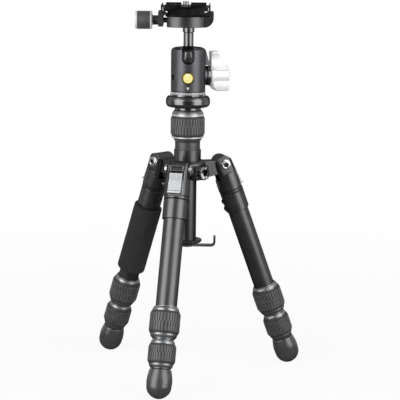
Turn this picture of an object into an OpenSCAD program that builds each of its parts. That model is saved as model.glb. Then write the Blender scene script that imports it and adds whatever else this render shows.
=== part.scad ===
// Travel tripod: three folding legs of three tube sections each, a centre column that turns and
// slides, and a ball head with a quick-release clamp. Lengths are in millimetres.
// The floor is at height zero, the column stands on the Z axis, and the head faces -Y.

/* [Stance] */
// Lean of the standing legs from upright, in degrees
leg_lean = 20.3; // [18:0.1:24]
// Turn of the front leg from the front of the head, in degrees
leg_turn = -12.8; // [-20:0.1:-6]
// Distance of the leg hinges from the column axis
hinge_r = 35; // [34.5:0.5:40]

/* [Leg tubes] */
// Radius of the upper tube
upper_r = 10; // [9.8:0.1:10.2]
// Radius of the middle tube
middle_r = 8.2; // [8:0.1:8.3]
// Radius of the lower tube
lower_r = 6.4; // [6.2:0.1:6.5]
// Wall of the leg tubes
tube_wall = 1.2; // [1:0.1:1.3]
// Distance from the hinge to the lower end of the upper tube
upper_end = 150; // [148:1:180]

/* [Yokes] */
// Width over the two ears
yoke_w = 21; // [20:0.5:22]
// Radius of the ears round the hinge bolt
ear_r = 8.5; // [8:0.1:8.8]
// Radius of the round sleeve that holds the upper tube
yoke_r = 11.5; // [11.2:0.1:12]
// Distance from the hinge to the lower end of the sleeve
yoke_len = 48; // [44:1:56]

/* [Twist locks] */
// Length of the upper lock
lock_a_len = 30.2; // [28:0.2:34]
// Outer radius of the upper lock's grip
lock_a_r = 14.3; // [14:0.1:15]
// Length of the lower lock
lock_b_len = 27.4; // [26:0.2:32]
// Outer radius of the lower lock's grip
lock_b_r = 13; // [12.8:0.1:13.6]
// Ribs round each grip
grip_ribs = 30; // [18:1:36]

/* [Feet and foam] */
// Largest radius of a foot
foot_r = 11.7; // [11:0.1:12.5]
// Length of the foot above the centre of its round end
foot_body = 15.8; // [14:0.2:20]
// Radius of the foam grip
foam_r = 14; // [13:0.5:15]
// Length of the foam grip
foam_len = 71; // [60:1:76]

/* [Column] */
// Radius of the column tube
column_r = 9; // [8.8:0.1:9.2]
// Length of the column tube
column_len = 135.7; // [120:1:145]
// Length of the column lock
lock_c_len = 30.4; // [28:0.2:34]
// Outer radius of the column lock's grip
lock_c_r = 16.5; // [16:0.1:17]
// Reach of the hook from the column axis
hook_reach = 28; // [25:0.5:28]
// Radius of the platform under the head
disc_r = 21.15; // [20:0.05:21.3]

/* [Ball head] */
// Radius of the head body
head_r = 16.5; // [16:0.1:17]
// Height of the head body
head_h = 41.1; // [40:0.1:42]
// Radius of the ball
ball_r = 12; // [11.8:0.1:12.2]
// Radius of the stem
stem_r = 4.75; // [4.5:0.05:5]
// Distance from the ball's centre to the top of the stem
stem_len = 29.1; // [28:0.1:34]
// Width of the drop notch
notch_w = 11.3; // [11:0.1:12]

/* [Clamp and plate] */
// Radius of the clamp body seen from above
clamp_r = 23; // [23:0.5:25]
// Length of the clamp's jaws
clamp_len = 32; // [30:1:38]
// Half width of the plate's dovetail foot
dove_half = 19; // [18.5:0.1:19.5]
// Length of the plate
plate_len = 50; // [44:1:60]
// Width over the plate's side edges
plate_w = 46.5; // [45:0.5:48]
// Radius of the clamp knob
knob_r = 8.75; // [8.2:0.05:9.2]
// Radius of the camera screw
screw_r = 3.175; // [3:0.005:3.2]

/* [Hidden] */
$fn = 96;
LEGS = ["front", "right", "left"];
leg_step = 120;

// Clearances shared by the pieces
over = 1;
fit_gap = 0.05;
run_gap = 0.07;
free_gap = 0.3;
thread_gap = 0.35;

// Places along a leg, measured from its hinge
lug_r = 8.4;
lug_w = 14;
fork_depth = 14.5;
yoke_block = 26;
yoke_seam = 29;
yoke_step = 0.3;
yoke_flare = 0.4;
ear_flat = 9;
seam_depth = 0.4;
seam_w = 0.6;
tube_top = 28.5;
lock_a_cover = 20;
lock_a_top = upper_end - lock_a_cover;
lock_b_top = lock_a_top + lock_a_len + free_gap;
lock_b_cover = 17.5;
middle_end = lock_b_top + lock_b_cover;
middle_top = 33;
lower_top = 38;
foot_top = lock_b_top + lock_b_len + free_gap;
foot_centre = foot_top + foot_body;
foot_taper = 1.8;
foam_gap = 1.5;
foam_round = 2.3;
foam_top = yoke_len + foam_gap;

// Heights, built up from the floor
hinge_z = foot_centre * cos(leg_lean) + foot_r;
hub_r = 17.5;
hub_drop = 13;
hub_clear = 1.3;
shoulder_rise = 2;
shoulder_h = 2.5;
shoulder_r = 15.5;
collar_h = 10.5;
collar_r = 13;
sleeve_h = 7.2;
sleeve_r = 12.05;
hub_z = hinge_z - hub_drop;
shoulder_z = hinge_z + shoulder_rise;
collar_z = shoulder_z + shoulder_h;
sleeve_z = collar_z + collar_h;
lock_c_z = sleeve_z + sleeve_h + free_gap;
neck_z = lock_c_z + lock_c_len + free_gap;
neck_h = 2.5;
disc_h = 10.7;
scale_h = 4.7;
seam_gap = 0.2;
disc_z = neck_z + neck_h;
scale_z = disc_z + disc_h;
head_z = scale_z + scale_h + seam_gap;
ball_sink_share = 0.78;
ball_z = head_z + head_h - ball_sink_share * ball_r;
clamp_z = ball_z + stem_len + seam_gap;

// Fasteners of the legs
bolt_r = 3;
bolt_head_r = 5.1;
bolt_head_h = 2.2;
bolt_flange_h = 1.1;
bolt_cap_r = 4;
washer_r = 5.3;
washer_h = 0.5;
hex_across = 4;
hex_r = hex_across / sqrt(3);
hex_depth = 1.6;
yoke_screw_r = 1.5;
yoke_screw_head_r = 2.3;
yoke_screw_head_h = 1.3;
yoke_screw_top = 19.8;
yoke_screw_seat = 10.8;
yoke_screw_seat_r = 2.6;
yoke_screw_shares = [0.4545, 0.7955];
yoke_screw_places = [for (share = yoke_screw_shares) yoke_block + share * (yoke_len - yoke_block)];

// Angle lock
pad_w = 12.4;
pad_top = 5.3;
pad_bottom = 24.6;
pad_lip = 2.4;
pad_front_top = 9.8;
pad_front_bottom = 11.4;
pad_lip_front = 12.9;
pad_clear = 0.5;
pad_back = lug_r + pad_clear;
pad_grooves = 8;
pad_groove_r = 0.35;
pawl_w = 10;
pawl_near = 3;
pawl_t = 2;
pawl_travel = 2.2;
bridge_top = 11.2;
bridge_bottom = 13.2;
stop_step = 30;
stops = 3;
pawl_tip = sqrt(pow(lug_r + free_gap, 2) - pow(pawl_near, 2));
recess_end = 27;

// Twist lock parts
lock_shoulder = 4.5;
lock_end_drop = 3.3;
rib_r = 0.55;
rib_out_share = 0.25;
grip_t = 1.8;
grip_bevel = 1.1;
grip_bevel_h = 2.8;
small_bevel = 0.4;
lip_len = 3.2;
collet_slit = 1.2;
bush_len = 12;

// Spider details
arm_rise = 3.5;
arm_root = 3;
block_half = 10;
block_r = 21.5;
block_port_half = 7;
block_low = 12.5;
block_high = 0.5;
pocket_w = 4.2;
pocket_h = 5.2;
pocket_depth = 5;
port_turn = 60;
port_r = 5.9;
port_body_r = 4.9;
port_boss_r = 6.9;
port_boss_stand = 1.2;
port_stand = 2.3;
port_depth = 5.2;
port_bore = 3.2;
port_floor = 0.9;
port_notch_w = 2.4;
port_notch_d = 1.2;
port_drop = 6;

// Column sleeve, bush and lock
stub_r = 11.4;
stub_h = 20.8;
sleeve_low_r = 11.2;
sleeve_low = 2;
bush_t = 1.2;
bush_flange_r = 11.3;
bush_flange_h = 2.7;
bush_low = 6;
bush_slit_len = 5.4;
cone_h = 4;
cone_r_top = 13.2;
cone_r_low = 12.1;
cone_r_wide = 14.3;
ring_c_r = 15.3;
ring_c_w = 1.4;
seat_c_r = 14.6;
lock_c_lip = 5.9;
neck_r = 12.35;
disc_round = 3.6;
socket_depth = 9.8;
column_wall = 1.3;
flange_r = 14.5;
flange_h = 2.8;
flange_round = 0.7;
plug_h = 8;
hook_t = 2.2;
hook_w = 6;
hook_tail = 6;
hook_tip_h = 8.3;
hook_drop = 2.1;
hook_pin_r = 2.5;
hook_pin_h = 5;
hook_boss_r = 5;

// Ball head details
stud_r = 4.7625;
stud_flange_r = 7.2;
stud_flange_h = 2.4;
stud_up = 3.9;
scale_r = 16.75;
spigot_r = 8;
spigot_h = 6;
head_edge_w = 2.2;
head_edge_h = 3.2;
head_edge_mid_w = 0.6;
head_edge_mid_h = 1.3;
cup_drop = 13.84;
cup_ledge = head_h - ball_sink_share * ball_r - cup_drop;
cup_r = 11.3;
cup_h = 7.5;
well_r = 8;
well_z = 9.7;
bevel_r = 12.6;
bevel_low_r = 11.2;
bevel_h = 4.4;
level_up = 13.2;
level_r = 5.5;
level_rim = 0.7;
level_deep = 2.4;
level_proud = 0.35;
lock_turn = 107;
lock_up = 14.2;
lock_screw_r = 3;
lock_screw_in = 4;
lock_washer_r = 9.35;
lock_washer_in = 17.1;
lock_washer_out = 20.6;
lock_neck_r = 10;
lock_neck_out = 25.7;
wing_in = 21.6;
wing_out = 39;
wing_mid = 29;
wing_top = 23.5;
wing_low = 14.5;
wing_t = 10;
lock_hub_r = 9.3;
lock_boss_r = 8.6;
hood_w = 12;
hood_low = 10.4;
hood_low_out = 19.4;
hood_face = 12.4;
hood_high = 24.5;
hood_high_out = 15.8;
set_hole_turn = -61;
set_hole_r = 2.75;
set_hole_depth = 3;
pan_turn = 180;
pan_up = 4.6;
pan_screw_r = 2;
pan_knob_r = 5.4;
pan_knob_in = 17.2;
pan_knob_out = 27;
pan_ribs = 16;
stem_collar_r = 5.6;
stem_collar_h = 5.1;
stem_groove = 0.35;
clamp_stud_r = 2.5;
clamp_stud_h = 5.6;

// Clamp and plate details, in the clamp's own XZ plane above its underside
plate_x = -2.7;
clamp_centre = -3;
clamp_floor = 10.2;
clamp_left = -20.5;
clamp_right = 23.7;
clamp_round = 9;
jaw_tip_z = 12.3;
jaw_top = 14.1;
jaw_wall = 3.5;
jaw_rise = 0.5;
lip_root = 1;
jaw_thick = 4.7;
jaw_gap = 3.5;
jaw_base = 0.6;
guide_r = 1.5;
guide_y = 12;
guide_in = 8;
blind_gap = 2;
clamp_screw_r = 2.5;
clamp_screw_z = 5.9;
clamp_screw_in = 10;
knob_neck_r = 4.5;
knob_neck = 5.7;
knob_len = 16.1;
knob_rim = 1.2;
knob_bevel = 0.4;
knob_grip_t = 1.1;
knob_ribs = 28;
dove_edge = 0.9;
dove_rise = 2.1;
dove_neck = 2;
plate_slab = 3.6;
plate_edge_h = 5.6;
plate_edge_w = 1.2;
plate_lip_w = 39;
plate_lip_h = 2.6;
plate_lip_t = 3;
plate_lip_notch = 9;
pad_rubber = 0.8;
pad_rubber_w = 34;
pad_hole_r = 4.2;
screw_head_r = 7;
screw_head_h = 2.2;
screw_neck_r = 2.6;
screw_up = 4.2;
coin_slot = 1.4;

// Helpers

// A pipe that hangs down from its place
module pipe(r_out, r_in, len) {
  translate([0, 0, -len])
    difference() {
      cylinder(r = r_out, h = len);
      translate([0, 0, -over]) cylinder(r = r_in, h = len + 2 * over);
    }
}

// Moves down a leg or the column
module along(t) {
  translate([0, 0, -t]) children();
}

// Lays a drawing of Y and Z on edge, and gives it a width along X
module side_plate(w) {
  rotate([90, 0, 90])
    translate([0, 0, -w / 2])
      linear_extrude(height = w)
        children();
}

// The frame of one leg hinge, with the spider's own upright
module hinge_frame(i) {
  rotate([0, 0, leg_turn + i * leg_step])
    translate([0, -hinge_r, hinge_z])
      children();
}

// The frame of one leg: it runs down -Z, and -Y is its outer side
module leg_frame(i) {
  hinge_frame(i) rotate([-leg_lean, 0, 0]) children();
}

// A direction that points out from the column axis, where X is level and Y is up
module radial(turn, z) {
  rotate([0, 0, turn])
    translate([0, 0, z])
      rotate([90, 0, 0])
        children();
}

// A round bar with bevelled ends and ribs between them, standing on its place
module ribbed(r, h, ribs, bevel, bevel_h) {
  rib_start = bevel_h + seam_gap;
  difference() {
    union() {
      cylinder(r1 = r - bevel, r2 = r, h = bevel_h);
      translate([0, 0, bevel_h]) cylinder(r = r, h = h - 2 * bevel_h);
      translate([0, 0, h - bevel_h]) cylinder(r1 = r, r2 = r - bevel, h = bevel_h);
    }
    for (k = [0 : ribs - 1])
      rotate([0, 0, k * 360 / ribs])
        translate([r + rib_out_share * rib_r, 0, rib_start])
          cylinder(r = rib_r, h = h - 2 * rib_start, $fn = 24);
  }
}

// A rectangle from the axis outwards with round outer corners
module round_half(r, h, round_r) {
  square([r - round_r, h]);
  translate([0, round_r]) square([r, h - 2 * round_r]);
  translate([r - round_r, round_r]) circle(r = round_r);
  translate([r - round_r, h - round_r]) circle(r = round_r);
}

// Legs

// Forked casting that swings on the spider's lug and holds the upper tube in its sleeve
module yoke(i) {
  block_half_w = yoke_r + yoke_step + yoke_flare;
  color("#3c3f42")
  leg_frame(i)
    difference() {
      union() {
        intersection() {
          side_plate(3 * yoke_r) {
            circle(r = ear_r);
            polygon([
              [-ear_r, 0], [-block_half_w, -yoke_block], [block_half_w, -yoke_block], [ear_r, 0]
            ]);
          }
          along(yoke_block) cylinder(r = yoke_r + yoke_step, h = yoke_block + ear_r + over);
        }
        along(yoke_len) cylinder(r = yoke_r, h = yoke_len - yoke_block);
      }
      // Flat faces of the ears under the bolt heads
      for (side = [-1, 1])
        translate([side * (yoke_w + yoke_r) / 2 - yoke_r / 2, -yoke_r, -ear_flat])
          cube([yoke_r, 2 * yoke_r, ear_flat + ear_r + over]);
      // Slot for the lug and its arm
      translate([-lug_w / 2 - free_gap, -yoke_r - over, -fork_depth])
        cube([lug_w + 2 * free_gap, 2 * yoke_r + 2 * over, fork_depth + ear_r + over]);
      // Seat for the angle lock
      translate([-pad_w / 2 - free_gap, -yoke_r - over, -recess_end])
        cube([pad_w + 2 * free_gap, yoke_r + over - pad_back + free_gap, recess_end]);
      // Bolt hole through the ears
      rotate([0, 90, 0])
        cylinder(r = bolt_r + fit_gap, h = yoke_w + 2 * over, center = true);
      // Socket for the tube
      along(yoke_len + over) cylinder(r = upper_r + fit_gap, h = yoke_len + over - tube_top + fit_gap);
      // Seam below the block
      along(yoke_seam) pipe(yoke_r + over, yoke_r - seam_depth, seam_w);
      // Holes for the small screws on the inner side
      for (t = yoke_screw_places)
        along(t) rotate([-90, 0, 0]) cylinder(r = yoke_screw_r + fit_gap, h = yoke_r + over);
      along(yoke_screw_top)
        translate([0, yoke_screw_head_r, 0])
          rotate([-90, 0, 0]) cylinder(r = yoke_screw_r + fit_gap, h = yoke_r + over);
      // Spot face under the head of the highest screw
      along(yoke_screw_top)
        translate([0, yoke_screw_seat, 0])
          rotate([-90, 0, 0]) cylinder(r = yoke_screw_seat_r, h = yoke_r);
    }
}

// A small pan-head screw that points in along +Y towards the leg's middle
module yoke_screw(y_in, y_face, t) {
  along(t)
    rotate([-90, 0, 0])
      difference() {
        union() {
          translate([0, 0, y_in]) cylinder(r = yoke_screw_r, h = y_face - y_in);
          translate([0, 0, y_face]) cylinder(r = yoke_screw_head_r, h = yoke_screw_head_h);
        }
        translate([0, 0, y_face + yoke_screw_head_h / 2])
          cylinder(r = yoke_screw_r / 2 + fit_gap, h = yoke_screw_head_h, $fn = 6);
      }
}

// Hinge bolt, its cap nut, two washers and the small screws of the yoke
module fasteners(i) {
  ear_face = yoke_w / 2;
  head_in = ear_face + washer_h;
  color("silver")
  leg_frame(i) {
    rotate([0, 90, 0]) {
      difference() {
        union() {
          translate([0, 0, -head_in]) cylinder(r = bolt_r, h = 2 * head_in);
          translate([0, 0, -head_in - bolt_flange_h]) cylinder(r = bolt_head_r, h = bolt_flange_h);
          translate([0, 0, -head_in - bolt_head_h]) cylinder(r = bolt_cap_r, h = bolt_head_h);
        }
        translate([0, 0, -head_in - bolt_head_h - over])
          cylinder(r = hex_r, h = hex_depth + over, $fn = 6);
      }
      translate([0, 0, head_in + fit_gap])
        difference() {
          union() {
            cylinder(r = bolt_head_r, h = bolt_flange_h);
            cylinder(r = bolt_cap_r, h = bolt_head_h);
          }
          translate([0, 0, bolt_head_h - hex_depth])
            cylinder(r = hex_r, h = hex_depth + over, $fn = 6);
        }
      for (side = [-1, 1])
        translate([0, 0, side * (ear_face + washer_h / 2)])
          difference() {
            cylinder(r = washer_r, h = washer_h - 2 * fit_gap, center = true);
            cylinder(r = bolt_r + fit_gap, h = 2 * washer_h, center = true);
          }
    }
    yoke_screw(yoke_screw_head_r, yoke_screw_seat + fit_gap, yoke_screw_top);
    for (t = yoke_screw_places)
      yoke_screw(upper_r + fit_gap, yoke_r, t);
  }
}

// Sliding angle lock: ridged thumb pad outside, pawl between the ears
module angle_lock(i) {
  color("silver")
  leg_frame(i)
    difference() {
      union() {
        side_plate(pad_w)
          polygon([
            [-pad_back, -pad_top], [-pad_front_top, -pad_top],
            [-pad_front_bottom, pad_lip - pad_bottom], [-pad_lip_front, pad_lip / 2 - pad_bottom],
            [-pad_lip_front, -pad_bottom], [-pad_back, -pad_bottom]
          ]);
        translate([-pawl_w / 2, -pad_front_top, -bridge_bottom])
          cube([pawl_w, pad_front_top - pawl_near, bridge_bottom - bridge_top]);
        translate([-pawl_w / 2, -pawl_near - pawl_t, -bridge_bottom])
          cube([pawl_w, pawl_t, bridge_bottom - pawl_tip]);
      }
      for (k = [0 : pad_grooves - 1]) {
        share = (k + 0.5) / pad_grooves;
        t = pad_top + share * (pad_bottom - pad_lip - pad_top);
        y = pad_front_top + share * (pad_front_bottom - pad_front_top);
        translate([0, -y, -t])
          rotate([0, 90, 0])
            cylinder(r = pad_groove_r, h = pad_w + 2 * over, center = true, $fn = 16);
      }
    }
}

// Compression collet: a split ring that grips the tube inside it
module collet(r_out, r_in, len) {
  difference() {
    pipe(r_out, r_in, len);
    translate([0, -collet_slit / 2, -len - over])
      cube([r_out + over, collet_slit, len + 2 * over]);
  }
}

// Upper tube, with the collet that grips the middle tube below its end
module upper_tube(i) {
  color("#43464a")
  leg_frame(i) {
    along(tube_top) pipe(upper_r, upper_r - tube_wall, upper_end - tube_top);
    along(upper_end + free_gap)
      collet(upper_r, middle_r + run_gap, lock_a_len - lock_a_cover - lip_len - 2 * free_gap);
  }
}

// Middle tube, with its guide bush above and the collet for the lower tube below
module middle_tube(i) {
  color("#43464a")
  leg_frame(i) {
    along(middle_top) pipe(middle_r, middle_r - tube_wall, middle_end - middle_top);
    along(middle_top) pipe(upper_r - tube_wall - run_gap, middle_r + fit_gap / 2, bush_len);
    along(middle_end + free_gap)
      collet(middle_r, lower_r + run_gap, lock_b_len - lock_b_cover - lip_len - 2 * free_gap);
  }
}

// Lower tube, with its guide bush above
module lower_tube(i) {
  color("#43464a")
  leg_frame(i) {
    along(lower_top) pipe(lower_r, lower_r - tube_wall, foot_centre - free_gap - lower_top);
    along(lower_top) pipe(middle_r - tube_wall - run_gap, lower_r + fit_gap / 2, bush_len);
  }
}

// Metal collar of a twist lock: two tapered shoulders with a seat for the grip between them
module lock_collar(len, grip_r, tube_r, next_r) {
  seat_r = grip_r - grip_t;
  end_r = grip_r - lock_end_drop;
  along(len)
    difference() {
      union() {
        cylinder(r1 = end_r, r2 = seat_r, h = lock_shoulder);
        translate([0, 0, lock_shoulder]) cylinder(r = seat_r, h = len - 2 * lock_shoulder);
        translate([0, 0, len - lock_shoulder]) cylinder(r1 = seat_r, r2 = end_r, h = lock_shoulder);
      }
      translate([0, 0, lip_len]) cylinder(r = tube_r + thread_gap, h = len);
      translate([0, 0, -over]) cylinder(r = next_r + thread_gap, h = len);
    }
}

// Ribbed rubber sleeve round a twist lock
module lock_grip(len, grip_r) {
  end = lock_shoulder + seam_gap / 2;
  along(len - end)
    difference() {
      ribbed(grip_r, len - 2 * end, grip_ribs, grip_bevel, grip_bevel_h);
      translate([0, 0, -over]) cylinder(r = grip_r - grip_t + fit_gap, h = len);
    }
}

// Collar of the upper twist lock
module upper_collar(i) {
  color("#74777b")
  leg_frame(i) along(lock_a_top) lock_collar(lock_a_len, lock_a_r, upper_r, middle_r);
}

// Grip of the upper twist lock
module upper_grip(i) {
  color("#2c2d2f")
  leg_frame(i) along(lock_a_top) lock_grip(lock_a_len, lock_a_r);
}

// Collar of the lower twist lock
module lower_collar(i) {
  color("#74777b")
  leg_frame(i) along(lock_b_top) lock_collar(lock_b_len, lock_b_r, middle_r, lower_r);
}

// Grip of the lower twist lock
module lower_grip(i) {
  color("#2c2d2f")
  leg_frame(i) along(lock_b_top) lock_grip(lock_b_len, lock_b_r);
}

// Rubber foot with a round end, moulded over the lower tube
module foot(i) {
  color("#333437")
  leg_frame(i)
    difference() {
      union() {
        along(foot_centre) sphere(r = foot_r);
        along(foot_centre) cylinder(r = foot_r, h = foot_body / 2);
        along(foot_centre - foot_body / 2)
          cylinder(r1 = foot_r, r2 = foot_r - foot_taper, h = foot_body / 2);
      }
      along(foot_centre) cylinder(r = lower_r + fit_gap, h = foot_body + over);
    }
}

// Foam grip round the left upper tube
module foam_grip(i) {
  color("#242426")
  leg_frame(i)
    along(foam_top + foam_len)
      difference() {
        rotate_extrude() round_half(foam_r, foam_len, foam_round);
        translate([0, 0, -over]) cylinder(r = upper_r + free_gap, h = foam_len + 2 * over);
      }
}

// Centre

// Height of the pocket and the port above the hub's underside
port_z = hinge_z - port_drop;

// One side block of the spider between two arms
module side_block() {
  translate([-block_half, -block_r, hinge_z - block_low])
    cube([block_half + block_port_half, block_r, block_low + block_high]);
}

// Casting with three lugs on arms, and a collar for the column sleeve
module spider() {
  arm_y = hinge_r - hub_r + arm_root;
  color("#3c3f42")
  difference() {
    union() {
      translate([0, 0, hub_z]) cylinder(r = hub_r, h = hub_drop + shoulder_rise);
      translate([0, 0, shoulder_z]) cylinder(r1 = hub_r, r2 = shoulder_r, h = shoulder_h);
      translate([0, 0, collar_z]) cylinder(r = collar_r, h = collar_h);
      for (i = [0 : 2]) {
        hinge_frame(i) {
          rotate([0, 90, 0]) cylinder(r = lug_r, h = lug_w, center = true);
          side_plate(lug_w)
            polygon([
              [0, -lug_r], [arm_y, -hub_drop], [arm_y, arm_rise], [0, arm_rise]
            ]);
        }
        rotate([0, 0, leg_turn + port_turn + i * leg_step]) side_block();
      }
      radial(leg_turn + port_turn, port_z)
        translate([0, 0, hub_r / 2])
          cylinder(r = port_boss_r, h = block_r + port_boss_stand - hub_r / 2);
    }
    // Bore for the column sleeve
    translate([0, 0, hub_z - over])
      cylinder(r = column_r + hub_clear, h = hub_drop + over);
    translate([0, 0, hub_z + sleeve_low])
      cylinder(r = sleeve_low_r + fit_gap, h = sleeve_z - hub_z);
    for (i = [0 : 2]) {
      hinge_frame(i) {
        rotate([0, 90, 0]) cylinder(r = bolt_r + run_gap, h = lug_w + 2 * over, center = true);
        // Notches that the pawl drops into at each stop
        for (k = [0 : stops - 1])
          rotate([-leg_lean - k * stop_step, 0, 0])
            translate([
              -pawl_w / 2 - free_gap, -pawl_near - pawl_t - free_gap, -lug_r - over
            ])
              cube([
                pawl_w + 2 * free_gap, pawl_t + 2 * free_gap,
                lug_r + over - pawl_tip + pawl_travel + free_gap
              ]);
      }
      // Pocket that lightens the side block
      rotate([0, 0, leg_turn + port_turn + i * leg_step])
        translate([-block_half + over, -block_r - over, port_z - pocket_h / 2])
          cube([pocket_w, pocket_depth + over, pocket_h]);
    }
    // Seat for the threaded insert
    radial(leg_turn + port_turn, port_z)
      translate([0, 0, block_r + port_stand - port_depth - fit_gap])
        cylinder(r = port_body_r + fit_gap, h = port_depth + over);
  }
}

// Threaded insert of the accessory port, with its flange and two anti-twist notches
module accessory_port() {
  face = block_r + port_stand;
  color("silver")
  radial(leg_turn + port_turn, port_z)
    difference() {
      union() {
        translate([0, 0, face - port_depth]) cylinder(r = port_body_r, h = port_depth);
        translate([0, 0, block_r + port_boss_stand + fit_gap])
          cylinder(r = port_r, h = port_stand - port_boss_stand - fit_gap);
      }
      translate([0, 0, face - port_depth + port_floor])
        cylinder(r = port_bore, h = port_depth + over);
      for (side = [0, 180])
        rotate([0, 0, side])
          translate([-port_notch_w / 2, (port_bore + port_body_r) / 2, face - port_notch_d])
            cube([port_notch_w, port_r, port_notch_d + over]);
    }
}

// Metal sleeve that carries the column, with the stub that the column lock screws on
module column_sleeve() {
  bore = column_r + bush_t + run_gap;
  color("#54575b")
  difference() {
    union() {
      translate([0, 0, hub_z + sleeve_low + fit_gap])
        cylinder(r = sleeve_low_r, h = sleeve_z - hub_z - sleeve_low - fit_gap);
      translate([0, 0, sleeve_z]) cylinder(r = sleeve_r, h = sleeve_h);
      translate([0, 0, sleeve_z]) cylinder(r = stub_r, h = sleeve_h + stub_h);
    }
    translate([0, 0, hub_z]) cylinder(r = bore, h = sleeve_z + stub_h);
  }
}

// Plastic liner between the sleeve and the column, with the collet that the lock squeezes
module column_bush() {
  top = sleeve_z + sleeve_h + stub_h + free_gap;
  low = hub_z + bush_low;
  color("#1d1d1f")
  difference() {
    union() {
      translate([0, 0, low]) cylinder(r = column_r + bush_t, h = top - low);
      translate([0, 0, top]) cylinder(r = bush_flange_r, h = bush_flange_h);
    }
    translate([0, 0, low - over]) cylinder(r = column_r + run_gap, h = top + bush_flange_h);
    translate([0, -collet_slit / 2, top - bush_slit_len])
      cube([bush_flange_r + over, collet_slit, bush_slit_len + bush_flange_h + over]);
  }
}

// Centre column tube
module column_tube() {
  color("#4b4e52")
  translate([0, 0, neck_z + socket_depth - fit_gap])
    pipe(column_r, column_r - column_wall, column_len);
}

column_low = neck_z + socket_depth - fit_gap - column_len;

// Plug with a flange that closes the column's lower end
module column_end() {
  color("#1d1d1f")
  difference() {
    union() {
      translate([0, 0, column_low - flange_h])
        rotate_extrude() round_half(flange_r, flange_h, flange_round);
      translate([0, 0, column_low - over])
        cylinder(r = column_r - column_wall - fit_gap, h = plug_h + over);
    }
    translate([0, 0, column_low - flange_h - over])
      cylinder(r = hook_pin_r + run_gap, h = flange_h + over + hook_pin_h);
  }
}

// Flat bent hook that swivels on its pin
module hook() {
  top = column_low - flange_h - hook_drop;
  color("#2a2b2d")
  union() {
    translate([0, 0, top]) cylinder(r = hook_boss_r, h = hook_drop - seam_gap);
    translate([0, 0, top]) cylinder(r = hook_pin_r, h = hook_drop + hook_pin_h);
    translate([0, 0, top - hook_t]) cylinder(r = hook_tail, h = hook_t);
    translate([0, -hook_w / 2, top - hook_t]) cube([hook_reach, hook_w, hook_t]);
    translate([hook_reach - hook_t, -hook_w / 2, top - hook_t])
      cube([hook_t, hook_w, hook_t + hook_tip_h]);
  }
}

// Collar of the column lock, with a cone and a bright ring at each end
module column_lock_collar() {
  body = lock_c_len - 2 * cone_h;
  color("#74777b")
  translate([0, 0, lock_c_z])
    difference() {
      union() {
        cylinder(r1 = cone_r_low, r2 = cone_r_wide, h = cone_h);
        translate([0, 0, cone_h]) cylinder(r = ring_c_r, h = ring_c_w);
        translate([0, 0, cone_h]) cylinder(r = seat_c_r, h = body);
        translate([0, 0, cone_h + body - ring_c_w]) cylinder(r = ring_c_r, h = ring_c_w);
        translate([0, 0, cone_h + body]) cylinder(r1 = ring_c_r, r2 = cone_r_top, h = cone_h);
      }
      translate([0, 0, -over])
        cylinder(r = stub_r + thread_gap, h = lock_c_len - lock_c_lip + over);
      cylinder(r = column_r + thread_gap, h = lock_c_len + over);
    }
}

// Ribbed rubber sleeve round the column lock
module column_lock_grip() {
  end = cone_h + ring_c_w + seam_gap;
  color("#2c2d2f")
  translate([0, 0, lock_c_z + end])
    difference() {
      ribbed(lock_c_r, lock_c_len - 2 * end, grip_ribs, grip_bevel, grip_bevel_h);
      translate([0, 0, -over]) cylinder(r = seat_c_r + fit_gap, h = lock_c_len);
    }
}

// Platform that caps the column and carries the head
module platform_disc() {
  color("#151516")
  translate([0, 0, neck_z])
    difference() {
      union() {
        cylinder(r = neck_r, h = neck_h + over);
        translate([0, 0, neck_h]) rotate_extrude() round_half(disc_r, disc_h, disc_round);
      }
      translate([0, 0, -over]) cylinder(r = column_r + fit_gap, h = socket_depth + over);
      cylinder(r = stud_r + fit_gap, h = neck_h + disc_h + over);
    }
}

// Flanged stud that holds the head on the platform
module head_stud() {
  color("silver")
  translate([0, 0, neck_z + socket_depth - stud_flange_h - fit_gap]) {
    cylinder(r = stud_flange_r, h = stud_flange_h);
    cylinder(r = stud_r, h = stud_flange_h + neck_h + disc_h - socket_depth + stud_up);
  }
}

// Head

// Pan base: the scale ring and the spigot that the head turns on
module pan_base() {
  color("#2a2b2d")
  difference() {
    union() {
      translate([0, 0, scale_z]) cylinder(r = scale_r, h = scale_h);
      translate([0, 0, scale_z]) cylinder(r = spigot_r, h = scale_h + spigot_h);
    }
    translate([0, 0, scale_z - over]) cylinder(r = stud_r + fit_gap, h = over + stud_up + fit_gap);
  }
}

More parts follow.
